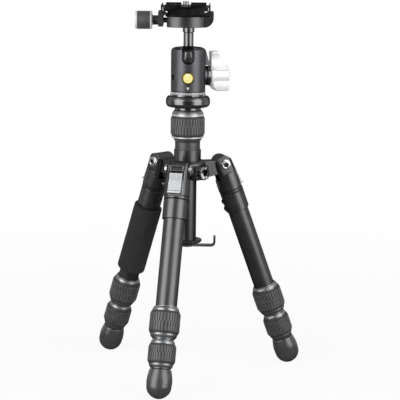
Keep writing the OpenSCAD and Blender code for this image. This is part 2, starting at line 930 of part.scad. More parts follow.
// Ball housing, with the drop notch at the front
module head_body() {
  color("#3a3c3f")
  difference() {
    union() {
      translate([0, 0, head_z])
        rotate_extrude()
          polygon([
            [0, 0], [head_r, 0], [head_r, head_h - head_edge_h],
            [head_r - head_edge_mid_w, head_h - head_edge_mid_h],
            [head_r - head_edge_w, head_h], [0, head_h]
          ]);
      // Boss and hood of the ball lock
      radial(lock_turn, head_z + lock_up) {
        translate([0, 0, cup_r + pad_clear])
          cylinder(r = lock_boss_r, h = lock_washer_in - cup_r - pad_clear - seam_gap);
        side_plate(hood_w)
          polygon([
            [hood_low, cup_r], [hood_low, hood_low_out], [hood_face, hood_low_out],
            [hood_high, hood_high_out], [hood_high, cup_r]
          ]);
      }
    }
    // Bearing for the pan spigot
    translate([0, 0, head_z - over]) cylinder(r = spigot_r + run_gap, h = spigot_h + over);
    // Well for the lock screw, and the seat of the ball cup
    translate([0, 0, head_z + well_z]) cylinder(r = well_r, h = head_h / 2);
    translate([0, 0, head_z + cup_ledge])
      cylinder(r = cup_r + run_gap, h = ball_z - head_z - cup_ledge);
    // Ball socket and its bevelled mouth
    translate([0, 0, ball_z]) sphere(r = ball_r + free_gap);
    translate([0, 0, head_z + head_h - bevel_h])
      cylinder(r1 = bevel_low_r, r2 = bevel_r, h = bevel_h);
    translate([0, 0, head_z + head_h - seam_gap / 2]) cylinder(r = bevel_r, h = over);
    // Drop notch
    radial(0, ball_z) cylinder(r = notch_w / 2, h = head_r + over);
    translate([-notch_w / 2, -head_r - over, ball_z]) cube([notch_w, head_r + over, head_h]);
    // Seats for the level, the lock screw, the pan screw and the set screw
    radial(0, head_z + level_up)
      translate([0, 0, head_r - level_deep]) cylinder(r = level_r + fit_gap, h = head_r);
    radial(lock_turn, head_z + lock_up) cylinder(r = lock_screw_r + run_gap, h = 2 * head_r);
    radial(pan_turn, head_z + pan_up)
      translate([0, 0, spigot_r - over]) cylinder(r = pan_screw_r + run_gap, h = head_r);
    radial(set_hole_turn, head_z + level_up)
      translate([0, 0, head_r - set_hole_depth]) cylinder(r = set_hole_r, h = head_r);
  }
}

// Pressure cup under the ball
module ball_cup() {
  low = head_z + cup_ledge + free_gap / 2;
  color("#c9b27a")
  difference() {
    translate([0, 0, low]) cylinder(r = cup_r, h = cup_h);
    translate([0, 0, ball_z]) sphere(r = ball_r + free_gap / 2);
  }
}

// Ball
module ball() {
  color("#101011")
  translate([0, 0, ball_z]) sphere(r = ball_r);
}

// Stem with its collar, and the stud that the clamp turns on
module stem() {
  top = ball_z + stem_len;
  color("#101011")
  difference() {
    union() {
      translate([0, 0, ball_z]) cylinder(r = stem_r, h = stem_len);
      translate([0, 0, top - stem_collar_h]) cylinder(r = stem_collar_r, h = stem_collar_h);
      translate([0, 0, top]) cylinder(r = clamp_stud_r, h = clamp_stud_h);
    }
    translate([0, 0, ball_z]) sphere(r = ball_r + run_gap);
    translate([0, 0, top - stem_collar_h - stem_groove])
      rotate_extrude() translate([stem_r, 0]) circle(r = stem_groove, $fn = 24);
  }
}

// Winged ball lock knob with its washer and screw
module ball_lock_knob() {
  color("gainsboro")
  radial(lock_turn, head_z + lock_up) {
    translate([0, 0, lock_screw_in]) cylinder(r = lock_screw_r, h = wing_in - lock_screw_in);
    translate([0, 0, lock_washer_in]) cylinder(r = lock_washer_r, h = lock_washer_out - lock_washer_in);
    translate([0, 0, lock_washer_out]) cylinder(r = lock_neck_r, h = lock_neck_out - lock_washer_out);
    translate([0, 0, wing_in]) cylinder(r = lock_hub_r, h = wing_out - wing_in);
    side_plate(wing_t)
      polygon([
        [lock_neck_r, wing_in], [wing_top, wing_in], [wing_top, wing_mid],
        [lock_neck_r / 2, wing_out], [-wing_low, wing_out], [-wing_low, lock_neck_out],
        [-lock_neck_r, wing_in]
      ]);
  }
}

// Pan lock thumb screw at the back
module pan_lock_knob() {
  color("#2a2b2d")
  radial(pan_turn, head_z + pan_up) {
    translate([0, 0, spigot_r + free_gap + run_gap])
      cylinder(r = pan_screw_r, h = pan_knob_in - spigot_r);
    translate([0, 0, pan_knob_in])
      ribbed(pan_knob_r, pan_knob_out - pan_knob_in, pan_ribs, small_bevel, small_bevel);
  }
}

// Round bubble level: a rim and a domed vial
module bubble_level() {
  color("gold")
  radial(0, head_z + level_up) {
    translate([0, 0, head_r - level_deep + fit_gap])
      difference() {
        cylinder(r = level_r, h = level_deep + level_proud);
        translate([0, 0, level_rim])
          cylinder(r = level_r - level_rim, h = level_deep + level_proud);
      }
    translate([0, 0, head_r - level_deep + level_rim + 2 * fit_gap])
      cylinder(r = level_r - level_rim - fit_gap, h = level_deep - level_rim);
  }
}

// Clamp

// Stretches a drawing of X and Z along the clamp's rails
module rail(len) {
  rotate([90, 0, 0])
    translate([0, 0, -len / 2])
      linear_extrude(height = len)
        children();
}

// Height of the dovetail's foot above the clamp's underside
dove_low = clamp_floor + free_gap;
// A jaw face touches the dovetail's slope along the line x + z = slope_sum, seen from the plate
slope_sum = dove_half + dove_low + dove_edge + free_gap * sqrt(2);
lip_low = dove_low + dove_edge + free_gap;

// The pointed lip of a jaw that hooks over the dovetail, from the top of its wall to its root
function lip_points(wall_x) = [
  [wall_x, jaw_top], [slope_sum - jaw_tip_z, jaw_tip_z],
  [slope_sum - lip_low + lip_root / 2, lip_low - lip_root / 2], [wall_x, lip_low - lip_root]
];

// Clamp body with the fixed jaw: a profile along the rails, cut to a round plan
module clamp_body() {
  left = clamp_left - plate_x;
  right = clamp_right - plate_x;
  corner = right - clamp_round;
  color("#303134")
  translate([0, 0, clamp_z])
    difference() {
      intersection() {
        translate([plate_x, 0, 0])
          rail(2 * clamp_r) {
            polygon(concat(
              [[left, 0], [corner, 0], [right, clamp_round], [right, jaw_top]],
              lip_points(right - jaw_wall),
              [[right - jaw_wall, clamp_floor], [left, clamp_floor]]
            ));
            translate([corner, clamp_round])
              intersection() {
                circle(r = clamp_round);
                translate([-over, -clamp_round]) square(clamp_round + over);
              }
          }
        union() {
          translate([clamp_centre, 0, -over]) cylinder(r = clamp_r, h = jaw_top + 2 * over);
          translate([0, -clamp_len / 2, -over])
            cube([clamp_right + over, clamp_len, jaw_top + 2 * over]);
        }
      }
      translate([0, 0, -over])
        cylinder(r = clamp_stud_r + run_gap, h = clamp_stud_h + over);
      translate([clamp_left - over, 0, clamp_screw_z])
        rotate([0, 90, 0]) cylinder(r = clamp_screw_r + run_gap, h = clamp_screw_in + over + blind_gap);
      for (side = [-1, 1])
        translate([clamp_left - over, side * guide_y, clamp_screw_z])
          rotate([0, 90, 0]) cylinder(r = guide_r + run_gap, h = guide_in + over + blind_gap);
    }
}

jaw_x = clamp_left - jaw_gap;

// Moving jaw with its two guide pins
module clamp_jaw() {
  wall = plate_x - jaw_x;
  color("#303134")
  translate([0, 0, clamp_z])
    difference() {
      union() {
        rail(clamp_len)
          translate([plate_x, 0])
            mirror([1, 0])
              polygon(concat(
                [
                  [wall + jaw_thick, jaw_base], [wall + jaw_thick, jaw_top + jaw_rise],
                  [wall, jaw_top + jaw_rise]
                ],
                lip_points(wall),
                [[wall, jaw_base]]
              ));
        for (side = [-1, 1])
          translate([jaw_x - over, side * guide_y, clamp_screw_z])
            rotate([0, 90, 0]) cylinder(r = guide_r, h = over + jaw_gap + guide_in);
      }
      translate([jaw_x - jaw_thick - over, 0, clamp_screw_z])
        rotate([0, 90, 0]) cylinder(r = clamp_screw_r + run_gap, h = jaw_thick + 2 * over);
    }
}

// Clamp knob: screw, neck and core with two bright rims
module clamp_knob() {
  face = jaw_x - jaw_thick - seam_gap;
  color("silver")
  translate([face, 0, clamp_z + clamp_screw_z])
    rotate([0, -90, 0]) {
      translate([0, 0, -jaw_thick - seam_gap - jaw_gap - clamp_screw_in])
        cylinder(r = clamp_screw_r, h = jaw_thick + seam_gap + jaw_gap + clamp_screw_in + over);
      cylinder(r = knob_neck_r, h = knob_neck + over);
      translate([0, 0, knob_neck]) cylinder(r = knob_r - knob_bevel, h = knob_rim);
      translate([0, 0, knob_neck + knob_bevel]) cylinder(r = knob_r, h = knob_rim - knob_bevel);
      translate([0, 0, knob_neck]) cylinder(r = knob_r - knob_grip_t, h = knob_len);
      translate([0, 0, knob_neck + knob_len - knob_rim]) cylinder(r = knob_r, h = knob_rim);
    }
}

// Knurled rubber sleeve of the clamp knob
module clamp_knob_grip() {
  face = jaw_x - jaw_thick - seam_gap;
  start = knob_neck + knob_rim + fit_gap;
  color("#2c2d2f")
  translate([face, 0, clamp_z + clamp_screw_z])
    rotate([0, -90, 0])
      translate([0, 0, start])
        difference() {
          ribbed(
            knob_r, knob_len - 2 * knob_rim - 2 * fit_gap, knob_ribs, small_bevel, small_bevel
          );
          translate([0, 0, -over]) cylinder(r = knob_r - knob_grip_t + fit_gap, h = knob_len);
        }
}

dove_z = clamp_z + dove_low;
slab_z = dove_z + dove_edge + dove_rise + dove_neck;

// Quick-release plate with its dovetail, raised end lips and grooved side edges
module plate() {
  neck_half = dove_half - dove_rise;
  color("#141415")
  translate([plate_x, 0, dove_z])
    difference() {
      union() {
        rail(plate_len) {
          polygon([
            [-dove_half, 0], [dove_half, 0], [dove_half, dove_edge],
            [neck_half, dove_edge + dove_rise], [neck_half, dove_edge + dove_rise + dove_neck],
            [-neck_half, dove_edge + dove_rise + dove_neck], [-neck_half, dove_edge + dove_rise],
            [-dove_half, dove_edge]
          ]);
          translate([-plate_w / 2, dove_edge + dove_rise + dove_neck])
            square([plate_w, plate_slab]);
        }
        for (side = [-1, 1]) {
          translate([0, side * (plate_len - plate_lip_t) / 2, slab_z - dove_z])
            translate([-plate_lip_w / 2, -plate_lip_t / 2, 0])
              cube([plate_lip_w, plate_lip_t, plate_slab + plate_lip_h]);
          translate([
            side * (plate_w - plate_edge_w) / 2 - plate_edge_w / 2, -plate_len / 2, slab_z - dove_z
          ])
            cube([plate_edge_w, plate_len, plate_edge_h]);
        }
      }
      // Notch in the end lips in line with the screw
      translate([-plate_lip_notch / 2, -plate_len, slab_z - dove_z + plate_slab])
        cube([plate_lip_notch, 2 * plate_len, plate_slab]);
      // Pocket and hole for the camera screw
      translate([0, 0, -over])
        cylinder(r = screw_head_r + free_gap, h = dove_edge + screw_head_h + over);
      cylinder(r = screw_r + run_gap, h = 2 * plate_slab + dove_edge + dove_rise + dove_neck);
    }
}

// Rubber pad that the camera rests on
module plate_pad() {
  len = plate_len - 2 * plate_lip_t - 2 * free_gap;
  color("#202021")
  translate([plate_x, 0, slab_z + plate_slab])
    difference() {
      translate([-pad_rubber_w / 2, -len / 2, 0]) cube([pad_rubber_w, len, pad_rubber]);
      translate([0, 0, -over]) cylinder(r = pad_hole_r, h = pad_rubber + 2 * over);
    }
}

// Camera screw: slotted head in the plate's pocket, a thin neck, and the thread above the pad
module camera_screw() {
  rise = slab_z + plate_slab + pad_rubber - dove_z - dove_edge + fit_gap;
  color("silver")
  translate([plate_x, 0, dove_z + dove_edge - fit_gap])
    difference() {
      union() {
        cylinder(r = screw_head_r, h = screw_head_h);
        cylinder(r = screw_neck_r, h = rise + free_gap + over);
        translate([0, 0, rise + free_gap]) cylinder(r = screw_r, h = screw_up - free_gap);
      }
      translate([-screw_head_r, -coin_slot / 2, -over])
        cube([2 * screw_head_r, coin_slot, over + screw_head_h / 2]);
    }
}

spider();
accessory_port();
column_sleeve();
column_bush();
column_tube();
column_end();
hook();
column_lock_collar();
column_lock_grip();
platform_disc();
head_stud();
pan_base();
head_body();
ball_cup();
ball();
stem();
ball_lock_knob();
pan_lock_knob();
bubble_level();
clamp_body();
clamp_jaw();
clamp_knob();
clamp_knob_grip();
plate();
plate_pad();
camera_screw();
for (i = [0 : 2]) {
  name = LEGS[i];
  yoke(i);
  fasteners(i);
  angle_lock(i);
  upper_tube(i);
  upper_collar(i);
  upper_grip(i);
  middle_tube(i);
  lower_collar(i);
  lower_grip(i);
  lower_tube(i);
  foot(i);
}
foam_grip(2);  // left_foam_grip
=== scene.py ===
import math

import bmesh
import bpy
from mathutils import Matrix, Vector, noise


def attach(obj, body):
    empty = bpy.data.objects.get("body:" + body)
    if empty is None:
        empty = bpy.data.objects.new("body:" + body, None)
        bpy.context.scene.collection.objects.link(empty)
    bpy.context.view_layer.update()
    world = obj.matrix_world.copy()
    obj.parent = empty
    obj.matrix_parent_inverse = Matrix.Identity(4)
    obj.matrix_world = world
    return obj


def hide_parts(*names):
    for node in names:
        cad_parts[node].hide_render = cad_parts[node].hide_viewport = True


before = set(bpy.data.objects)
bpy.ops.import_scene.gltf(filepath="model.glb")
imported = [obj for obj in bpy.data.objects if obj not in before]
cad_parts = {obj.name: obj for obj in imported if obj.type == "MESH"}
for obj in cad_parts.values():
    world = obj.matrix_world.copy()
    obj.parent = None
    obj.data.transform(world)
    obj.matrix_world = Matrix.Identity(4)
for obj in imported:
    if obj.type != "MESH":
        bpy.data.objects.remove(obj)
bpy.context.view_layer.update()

# Leg tubes: three aluminium tubes a leg, drawn, anodised dark grey and cut square with a small
# chamfer. The middle and lower tubes carry a nylon guide bush at the top, and each tube but the
# last ends in a split collet.
mm = 0.001
hinge_out, hinge_high, leg_lean = 35.0, 203.029, 20.3
leg_turns = {"front": -12.8, "right": 107.2, "left": 227.2}


def turn(degrees, axis):
    return Matrix.Rotation(math.radians(degrees), 4, axis)


def shift(x, y, z):
    """A move given in millimetres."""
    return Matrix.Translation((x * mm, y * mm, z * mm))


def leg_axes(leg):
    """A leg's own frame: the leg runs down -Z from its hinge, and -Y is its outer side."""
    return turn(leg_turns[leg], "Z") @ shift(0, -hinge_out, hinge_high) @ turn(-leg_lean, "X")


def add(tree, kind, inputs=None, **options):
    """Adds a node to a tree, sets its options, and joins or fills its inputs."""
    made = tree.nodes.new(kind)
    for option, value in options.items():
        setattr(made, option, value)
    for name, value in (inputs or {}).items():
        socket = made.inputs[name]
        if isinstance(value, bpy.types.NodeSocket):
            tree.links.new(value, socket)
        else:
            socket.default_value = value
    return made


def mixed(tree, share, first, second):
    """Mixes two colours, given as sockets or as values."""
    mix = tree.nodes.new("ShaderNodeMix")
    mix.data_type = "RGBA"
    for number, value in ((0, share), (6, first), (7, second)):
        if isinstance(value, bpy.types.NodeSocket):
            tree.links.new(value, mix.inputs[number])
        else:
            mix.inputs[number].default_value = value
    return mix.outputs[2]


def shade(colour, factor=1.0):
    return tuple(min(part * factor, 1.0) for part in colour) + (1.0,)


def finish(
    name, colour, rough, metal=0.0, shift_share=0.14, cloud=70.0, grain=1500.0, stretch=(1, 1, 1),
    relief=0.015, rough_share=0.22, axes=None, edge_wear_and_sheen=None, coat=0.0, tint=None, ior=1.5,
):
    """A finish on Object coordinates: cloudy colour, grain in roughness and relief, and paler edges, which
    are rubbed wear on most finishes and a painted highlight on the grip rubber's rib crests.
    """
    skin = bpy.data.materials.new(name)
    skin.use_nodes = True
    tree = skin.node_tree
    tree.nodes.clear()
    place = add(tree, "ShaderNodeTexCoord").outputs["Object"]
    if axes is not None:
        place = add(
            tree, "ShaderNodeMapping",
            {"Vector": place, "Location": axes.to_translation(), "Rotation": axes.to_euler()},
            vector_type="TEXTURE",
        ).outputs[0]
    lines = add(tree, "ShaderNodeMapping", {"Vector": place, "Scale": stretch}).outputs[0]
    clouds = add(tree, "ShaderNodeTexNoise", {"Vector": place, "Scale": cloud, "Detail": 4.0}).outputs[0]
    grains = add(tree, "ShaderNodeTexNoise", {"Vector": lines, "Scale": grain, "Detail": 3.0}).outputs[0]
    both = add(tree, "ShaderNodeMath", {0: clouds, 1: grains}, operation="ADD").outputs[0]
    span = add(
        tree, "ShaderNodeMapRange", {"Value": both, "From Min": 0.7, "From Max": 1.3}
    ).outputs[0]
    tone = mixed(tree, span, shade(colour, 1 - shift_share), shade(colour, 1 + shift_share))
    # Pointiness lightens the edges: rubbed wear on most finishes, a painted highlight on the grip rubber's
    # rib crests.
    if edge_wear_and_sheen is not None:
        edge = add(tree, "ShaderNodeNewGeometry").outputs["Pointiness"]
        edge = add(
            tree, "ShaderNodeMapRange", {"Value": edge, "From Min": 0.52, "From Max": 0.62}
        ).outputs[0]
        edge_paint_share = add(tree, "ShaderNodeMath", {0: edge, 1: span}, operation="MULTIPLY").outputs[0]
        tone = mixed(tree, edge_paint_share, tone, shade(edge_wear_and_sheen))
    roughness = add(
        tree, "ShaderNodeMapRange",
        {"Value": both, "From Min": 0.7, "From Max": 1.3,
         "To Min": rough * (1 - rough_share), "To Max": rough * (1 + rough_share)},
    ).outputs[0]
    bump = add(tree, "ShaderNodeBump", {"Height": grains, "Distance": relief * mm}).outputs[0]
    surface = add(
        tree, "ShaderNodeBsdfPrincipled",
        {"Base Color": tone, "Metallic": metal, "Roughness": roughness, "Normal": bump,
         "Coat Weight": coat, "IOR": ior},
    )
    if tint is not None:
        surface.inputs["Specular Tint"].default_value = shade(tint)
    add(tree, "ShaderNodeOutputMaterial", {"Surface": surface.outputs[0]})
    return skin


def eased(outline, radius, steps=4):
    """Rounds the corners of a closed outline. A third number is a corner's own radius."""
    result = []
    for i, corner in enumerate(outline):
        here = Vector(corner[:2])
        own = corner[2] if len(corner) > 2 else radius
        if own == "hex" or own == 0 or here.x == 0:
            result.append(corner if own == "hex" else tuple(here))
            continue
        back = Vector(outline[i - 1][:2]) - here
        ahead = Vector(outline[(i + 1) % len(outline)][:2]) - here
        opening = back.angle(ahead)
        reach = min(own / max(math.tan(opening / 2), 0.05), 0.48 * back.length, 0.48 * ahead.length)
        first, last = here + back.normalized() * reach, here + ahead.normalized() * reach
        for k in range(steps + 1):
            s = k / steps
            result.append(tuple(first * (1 - s) ** 2 + here * 2 * s * (1 - s) + last * s * s))
    return result


def turned(outline, sides=96, closed=True):
    """A turned form: an outline of radius and height in millimetres, swept round the Z axis."""
    form = bmesh.new()
    rings = []
    for point in outline:
        radius, height = point[0], point[1]
        if radius < 1e-6:
            rings.append([form.verts.new((0, 0, height))])
            continue
        ring = []
        for k in range(sides):
            angle = 2 * math.pi * k / sides
            reach = radius
            if len(point) > 2:
                reach *= math.cos(math.pi / 6) / math.cos(angle % (math.pi / 3) - math.pi / 6)
            ring.append(form.verts.new((reach * math.cos(angle), reach * math.sin(angle), height)))
        rings.append(ring)
    pairs = list(zip(rings, rings[1:]))
    if closed:
        pairs.append((rings[-1], rings[0]))
    for low, high in pairs:
        for k in range(sides):
            j = (k + 1) % sides
            if len(low) == 1 and len(high) == 1:
                continue
            if len(low) == 1:
                form.faces.new((low[0], high[k], high[j]))
            elif len(high) == 1:
                form.faces.new((low[k], low[j], high[0]))
            else:
                form.faces.new((low[k], low[j], high[j], high[k]))
    return form


def joined(*forms):
    """Gathers several forms in one."""
    whole = bmesh.new()
    for form in forms:
        bmesh.ops.recalc_face_normals(form, faces=form.faces)
        step = bpy.data.meshes.new("step")
        form.to_mesh(step)
        form.free()
        whole.from_mesh(step)
        bpy.data.meshes.remove(step)
    return whole


def moved(form, matrix):
    """Moves a form that is drawn in millimetres by a matrix whose moves are in metres."""
    form.transform(Matrix.Scale(1 / mm, 4) @ matrix @ Matrix.Scale(mm, 4))
    return form


def plain(work, name):
    """Applies what is on a work object, and leaves one plain mesh with its own name."""
    graph = bpy.context.evaluated_depsgraph_get()
    mesh = bpy.data.meshes.new_from_object(work.evaluated_get(graph))
    bpy.data.objects.remove(work)
    mesh.name = name
    result = bpy.data.objects.new(name, mesh)
    bpy.context.scene.collection.objects.link(result)
    return result


def made(name, form, axes, *skins, ease=0.0, crease=38):
    """Makes a piece of a form drawn in millimetres: its edges are eased, and it is placed."""
    bmesh.ops.recalc_face_normals(form, faces=form.faces)
    mesh = bpy.data.meshes.new(name)
    form.to_mesh(mesh)
    form.free()
    for skin in skins:
        mesh.materials.append(skin)
    work = bpy.data.objects.new(name + "_work", mesh)
    bpy.context.scene.collection.objects.link(work)
    if ease:
        bevel = work.modifiers.new("ease", "BEVEL")
        bevel.width, bevel.segments, bevel.limit_method = ease, 3, "ANGLE"
        bevel.angle_limit = math.radians(crease)
        bevel.use_clamp_overlap = False
    work = plain(work, name + "_eased")
    work.data.shade_smooth()
    work.data.set_sharp_from_angle(angle=math.radians(crease))
    work.modifiers.new("flat faces", "WEIGHTED_NORMAL").keep_sharp = True
    result = plain(work, name)
    result.data.transform((axes or Matrix()) @ Matrix.Scale(mm, 4))
    return result


def seat(piece, body, slot, *nodes):
    """The piece moves with its body and stands for the nodes named, which are hidden; slot is not used."""
    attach(piece, body)
    if nodes:
        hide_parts(*nodes)
    return piece


def pipe(r_out, r_in, top, end, ease=0.25):
    """The outline of a tube that hangs down from top to end."""
    return turned(eased([(r_in, -top), (r_out, -top), (r_out, -end), (r_in, -end)], ease, 2))


nylon = finish("black_nylon", (0.012, 0.012, 0.013), 0.5, grain=900, relief=0.01)
tube_wall, bush_gap, bush_out, bush_length = 1.2, 0.02, 0.53, 12
tubes = (
    ("upper", "leg", 10, 28.5, 150), ("middle", "middle", 8.2, 33, 178),
    ("lower", "lower", 6.4, 38, 203.7),
)
for leg in leg_turns:
    axes = leg_axes(leg)
    drawn = finish(
        leg + "_drawn_anodised_tube", (0.145, 0.146, 0.150), 0.38, metal=1.0, axes=axes,
        stretch=(1, 1, 0.03), grain=1300, relief=0.006, shift_share=0.08, rough_share=0.15,
        tint=(0.25, 0.25, 0.25),
    )
    for which, body, tube_r, top, end in tubes:
        form = pipe(tube_r, tube_r - tube_wall, top, end)
        if which != "upper":
            bush = pipe(tube_r + bush_out, tube_r + bush_gap, top, top + bush_length)
            form = joined(form, bush)
        tube = made(f"{leg}_leg_tube_{which}", form, axes, drawn)
        seat(tube, f"{leg}_{body}", "tube_metal", f"{leg}_{which}_tube")

# Yokes: forked aluminium castings, powder coated satin black, that swing on the hub's lugs. The
# upper tube is glued in the sleeve, and the edges of the ears are rubbed a little paler.
def softened(cad_name, name, skin, ease, body, slot, crease=38):
    """A CAD node's own form with its doubles merged and its edges eased."""
    form = bmesh.new()
    form.from_mesh(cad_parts[cad_name].data)
    bmesh.ops.remove_doubles(form, verts=form.verts, dist=0.002 * mm)
    bmesh.ops.dissolve_limit(
        form, angle_limit=math.radians(1), verts=form.verts, edges=form.edges
    )
    form.transform(Matrix.Scale(1 / mm, 4))
    piece = made(name, form, None, skin, ease=ease, crease=crease)
    return seat(piece, body, slot, cad_name)


casting = finish(
    "satin_black_casting", (0.135, 0.136, 0.140), 0.34, metal=1.0, grain=2600, relief=0.012,
    edge_wear_and_sheen=(0.2, 0.2, 0.21), tint=(0.3, 0.3, 0.3),
)
for leg in leg_turns:
    softened(leg + "_yoke", leg + "_forked_yoke", casting, 0.5, leg + "_leg", "casting")

# Hinge bolts and screws: a plated socket-head bolt through each pair of ears, capped on the other
# side, with a washer under both heads, and three small pan-head screws on the yoke's inner side.
steel = finish(
    "plated_steel", (0.60, 0.61, 0.62), 0.24, metal=1.0, grain=2200, relief=0.006, cloud=200,
)
# A flat black: painted shade in the bolt and screw sockets and in the port's bore, and the printed ring on
# the level.
shade_and_print_black = finish("painted_shade_and_print_black", (0.012, 0.012, 0.012), 0.6, grain=2000)


def copies_tree():
    """Repeats what comes in: each copy turns and moves one step further than the last."""
    tree = bpy.data.node_groups.new("repeated copies", "GeometryNodeTree")
    for name, kind in (
        ("Geometry", "NodeSocketGeometry"), ("Count", "NodeSocketInt"),
        ("Turn Each", "NodeSocketVector"), ("Move Each", "NodeSocketVector"),
        ("Finish", "NodeSocketMaterial"),
    ):
        tree.interface.new_socket(name, in_out="INPUT", socket_type=kind)
    tree.interface.new_socket("Geometry", in_out="OUTPUT", socket_type="NodeSocketGeometry")
    given = add(tree, "NodeGroupInput").outputs
    index = add(tree, "GeometryNodeInputIndex").outputs[0]
    moves = add(
        tree, "ShaderNodeVectorMath", {0: given["Move Each"], "Scale": index}, operation="SCALE"
    )
    turns = add(
        tree, "ShaderNodeVectorMath", {0: given["Turn Each"], "Scale": index}, operation="SCALE"
    )
    points = add(
        tree, "GeometryNodePoints", {"Count": given["Count"], "Position": moves.outputs[0]}
    )
    placed = add(
        tree, "GeometryNodeInstanceOnPoints",
        {"Points": points.outputs[0], "Instance": given["Geometry"], "Rotation": turns.outputs[0]},
    )
    real = add(tree, "GeometryNodeRealizeInstances", {"Geometry": placed.outputs[0]})
    painted = add(
        tree, "GeometryNodeSetMaterial", {"Geometry": real.outputs[0], "Material": given["Finish"]}
    )
    add(tree, "NodeGroupOutput", {"Geometry": painted.outputs[0]})
    return tree


copies = copies_tree()


def repeated(form, count, skin, turn_each=(0, 0, 0), move_each=(0, 0, 0)):
    """Repeats a form by the copies tree, and gives the copies back as one form."""
    bmesh.ops.recalc_face_normals(form, faces=form.faces)
    mesh = bpy.data.meshes.new("one copy")
    form.to_mesh(mesh)
    form.free()
    work = bpy.data.objects.new("copies_work", mesh)
    bpy.context.scene.collection.objects.link(work)
    modifier = work.modifiers.new("copies", "NODES")
    modifier.node_group = copies
    values = {"Count": count, "Turn Each": turn_each, "Move Each": move_each, "Finish": skin}
    for item in copies.interface.items_tree:
        if item.in_out == "INPUT" and item.name in values:
            modifier[item.identifier] = values[item.name]
    work = plain(work, "copies")
    result = bmesh.new()
    result.from_mesh(work.data)
    bpy.data.objects.remove(work)
    return result


def bolt_end():
    """A socket-head bolt end over its washer, drawn with the ear's face at zero."""
    head = turned(
        [(0, 1.1), (2.31, 1.1, "hex"), (2.31, 2.4, "hex"), (2.6, 2.7), (3.3, 2.7), (3.8, 2.55),
         (4.0, 2.2), (4.0, 1.75), (4.15, 1.6), (4.6, 1.55), (5.0, 1.35), (5.1, 1.1), (5.1, 0.7),
         (4.95, 0.55), (3, 0.55), (3, -10.4), (0, -10.4)],
        sides=48, closed=False,
    )
    # The socket's faces take the black: painted shade in the recess.
    for face in head.faces:
        if max(math.hypot(v.co.x, v.co.y) for v in face.verts) < 2.4:
            face.material_index = 1
    washer = turned(eased([(3.05, 0.03), (5.3, 0.03), (5.3, 0.5), (3.05, 0.5)], 0.12, 3), sides=48)
    return joined(head, washer)


def pan_screw():
    """A small pan-head screw, drawn with the yoke's face at zero."""
    screw = turned(
        [(0, 0.6), (0.78, 0.6, "hex"), (0.78, 1.2, "hex"), (1.0, 1.3), (1.5, 1.27), (2.05, 1.0),
         (2.3, 0.55), (2.3, 0.0), (1.5, 0.0), (1.5, -1.4), (0, -1.4)],
        sides=24, closed=False,
    )
    # The socket's faces take the black: painted shade in the recess.
    for face in screw.faces:
        if max(math.hypot(v.co.x, v.co.y) for v in face.verts) < 0.85:
            face.material_index = 1
    return screw


ear_face, sleeve_face, spot_face = 10.5, 11.5, 10.83
top_screw_drop, low_screw_drop, screw_pitch = 19.8, 36, 7.5
inward = turn(-90, "X")
for leg in leg_turns:
    low_screws = moved(pan_screw(), shift(0, sleeve_face, -low_screw_drop) @ inward)
    form = joined(
        moved(bolt_end(), turn(90, "Y") @ shift(0, 0, ear_face)),
        moved(bolt_end(), turn(-90, "Y") @ shift(0, 0, ear_face)),
        repeated(low_screws, 2, steel, move_each=(0, 0, -screw_pitch)),
        moved(pan_screw(), shift(0, spot_face, -top_screw_drop) @ inward),
    )
    bolts = made(leg + "_hinge_bolt_and_screws", form, leg_axes(leg), steel, shade_and_print_black)
    seat(bolts, leg + "_leg", "steel", leg + "_fasteners")

# Angle locks: bright anodised aluminium thumb pads with grip ridges across them, fine above and
# coarse below, which slide on the outer side of the yoke. A bridge between the ears carries the
# pawl for the hub's notches.
bright = finish(
    "bright_anodised", (0.60, 0.61, 0.62), 0.42, metal=0.6, stretch=(0.05, 1, 1), grain=1800,
    relief=0.01, cloud=150, shift_share=0.08,
)


def prism(outline, width, middle=0.0):
    """An outline of Y and Z, given a width along X."""
    form = bmesh.new()
    near = [form.verts.new((middle - width / 2, y, z)) for y, z in outline]
    far = [form.verts.new((middle + width / 2, y, z)) for y, z in outline]
    form.faces.new(near)
    form.faces.new(reversed(far))
    for i, corner in enumerate(near):
        j = (i + 1) % len(near)
        form.faces.new((corner, near[j], far[j], far[i]))
    return form


pad_top, pad_bottom, pad_width = 5.3, 24.6, 12.4
pad_lean = math.degrees(math.atan2(1.5, 16.3))


def ridges(count, low, pitch, half, proud):
    """Grip ridges across the pad, one below the other along its sloping face."""
    width = pad_width - 0.5
    ridge = prism(
        [(0.3, -half), (-proud * 0.6, -half), (-proud, -half * 0.5), (-proud, half * 0.5),
         (-proud * 0.6, half), (0.3, half)], width,
    )
    face = -9.55 - (low - 5.6) * math.tan(math.radians(pad_lean))
    ridge = moved(ridge, shift(0, face, -low) @ turn(-pad_lean, "X"))
    step = (0, -pitch * math.tan(math.radians(pad_lean)), -pitch)
    return repeated(ridge, count, bright, move_each=step)


for leg in leg_turns:
    pad = prism(
        [(-8.9, -pad_top), (-9.3, -pad_top), (-9.55, -5.6), (-11.05, -21.9), (-12.7, -23.2),
         (-12.8, -pad_bottom), (-8.9, -pad_bottom)], pad_width,
    )
    bridge = prism([(-3, -11.2), (-9.8, -11.2), (-9.8, -13.2), (-3, -13.2)], 10)
    pawl = prism([(-3, -8.2), (-5, -8.2), (-5, -13.2), (-3, -13.2)], 10)
    form = joined(pad, ridges(9, 6.6, 0.8, 0.22, 0.3), ridges(4, 14.6, 2.0, 0.62, 0.45), bridge, pawl)
    lock = made(leg + "_angle_lock_slide", form, leg_axes(leg), bright, ease=0.12)
    seat(lock, leg + "_angle_lock", "bright_metal", leg + "_angle_lock")

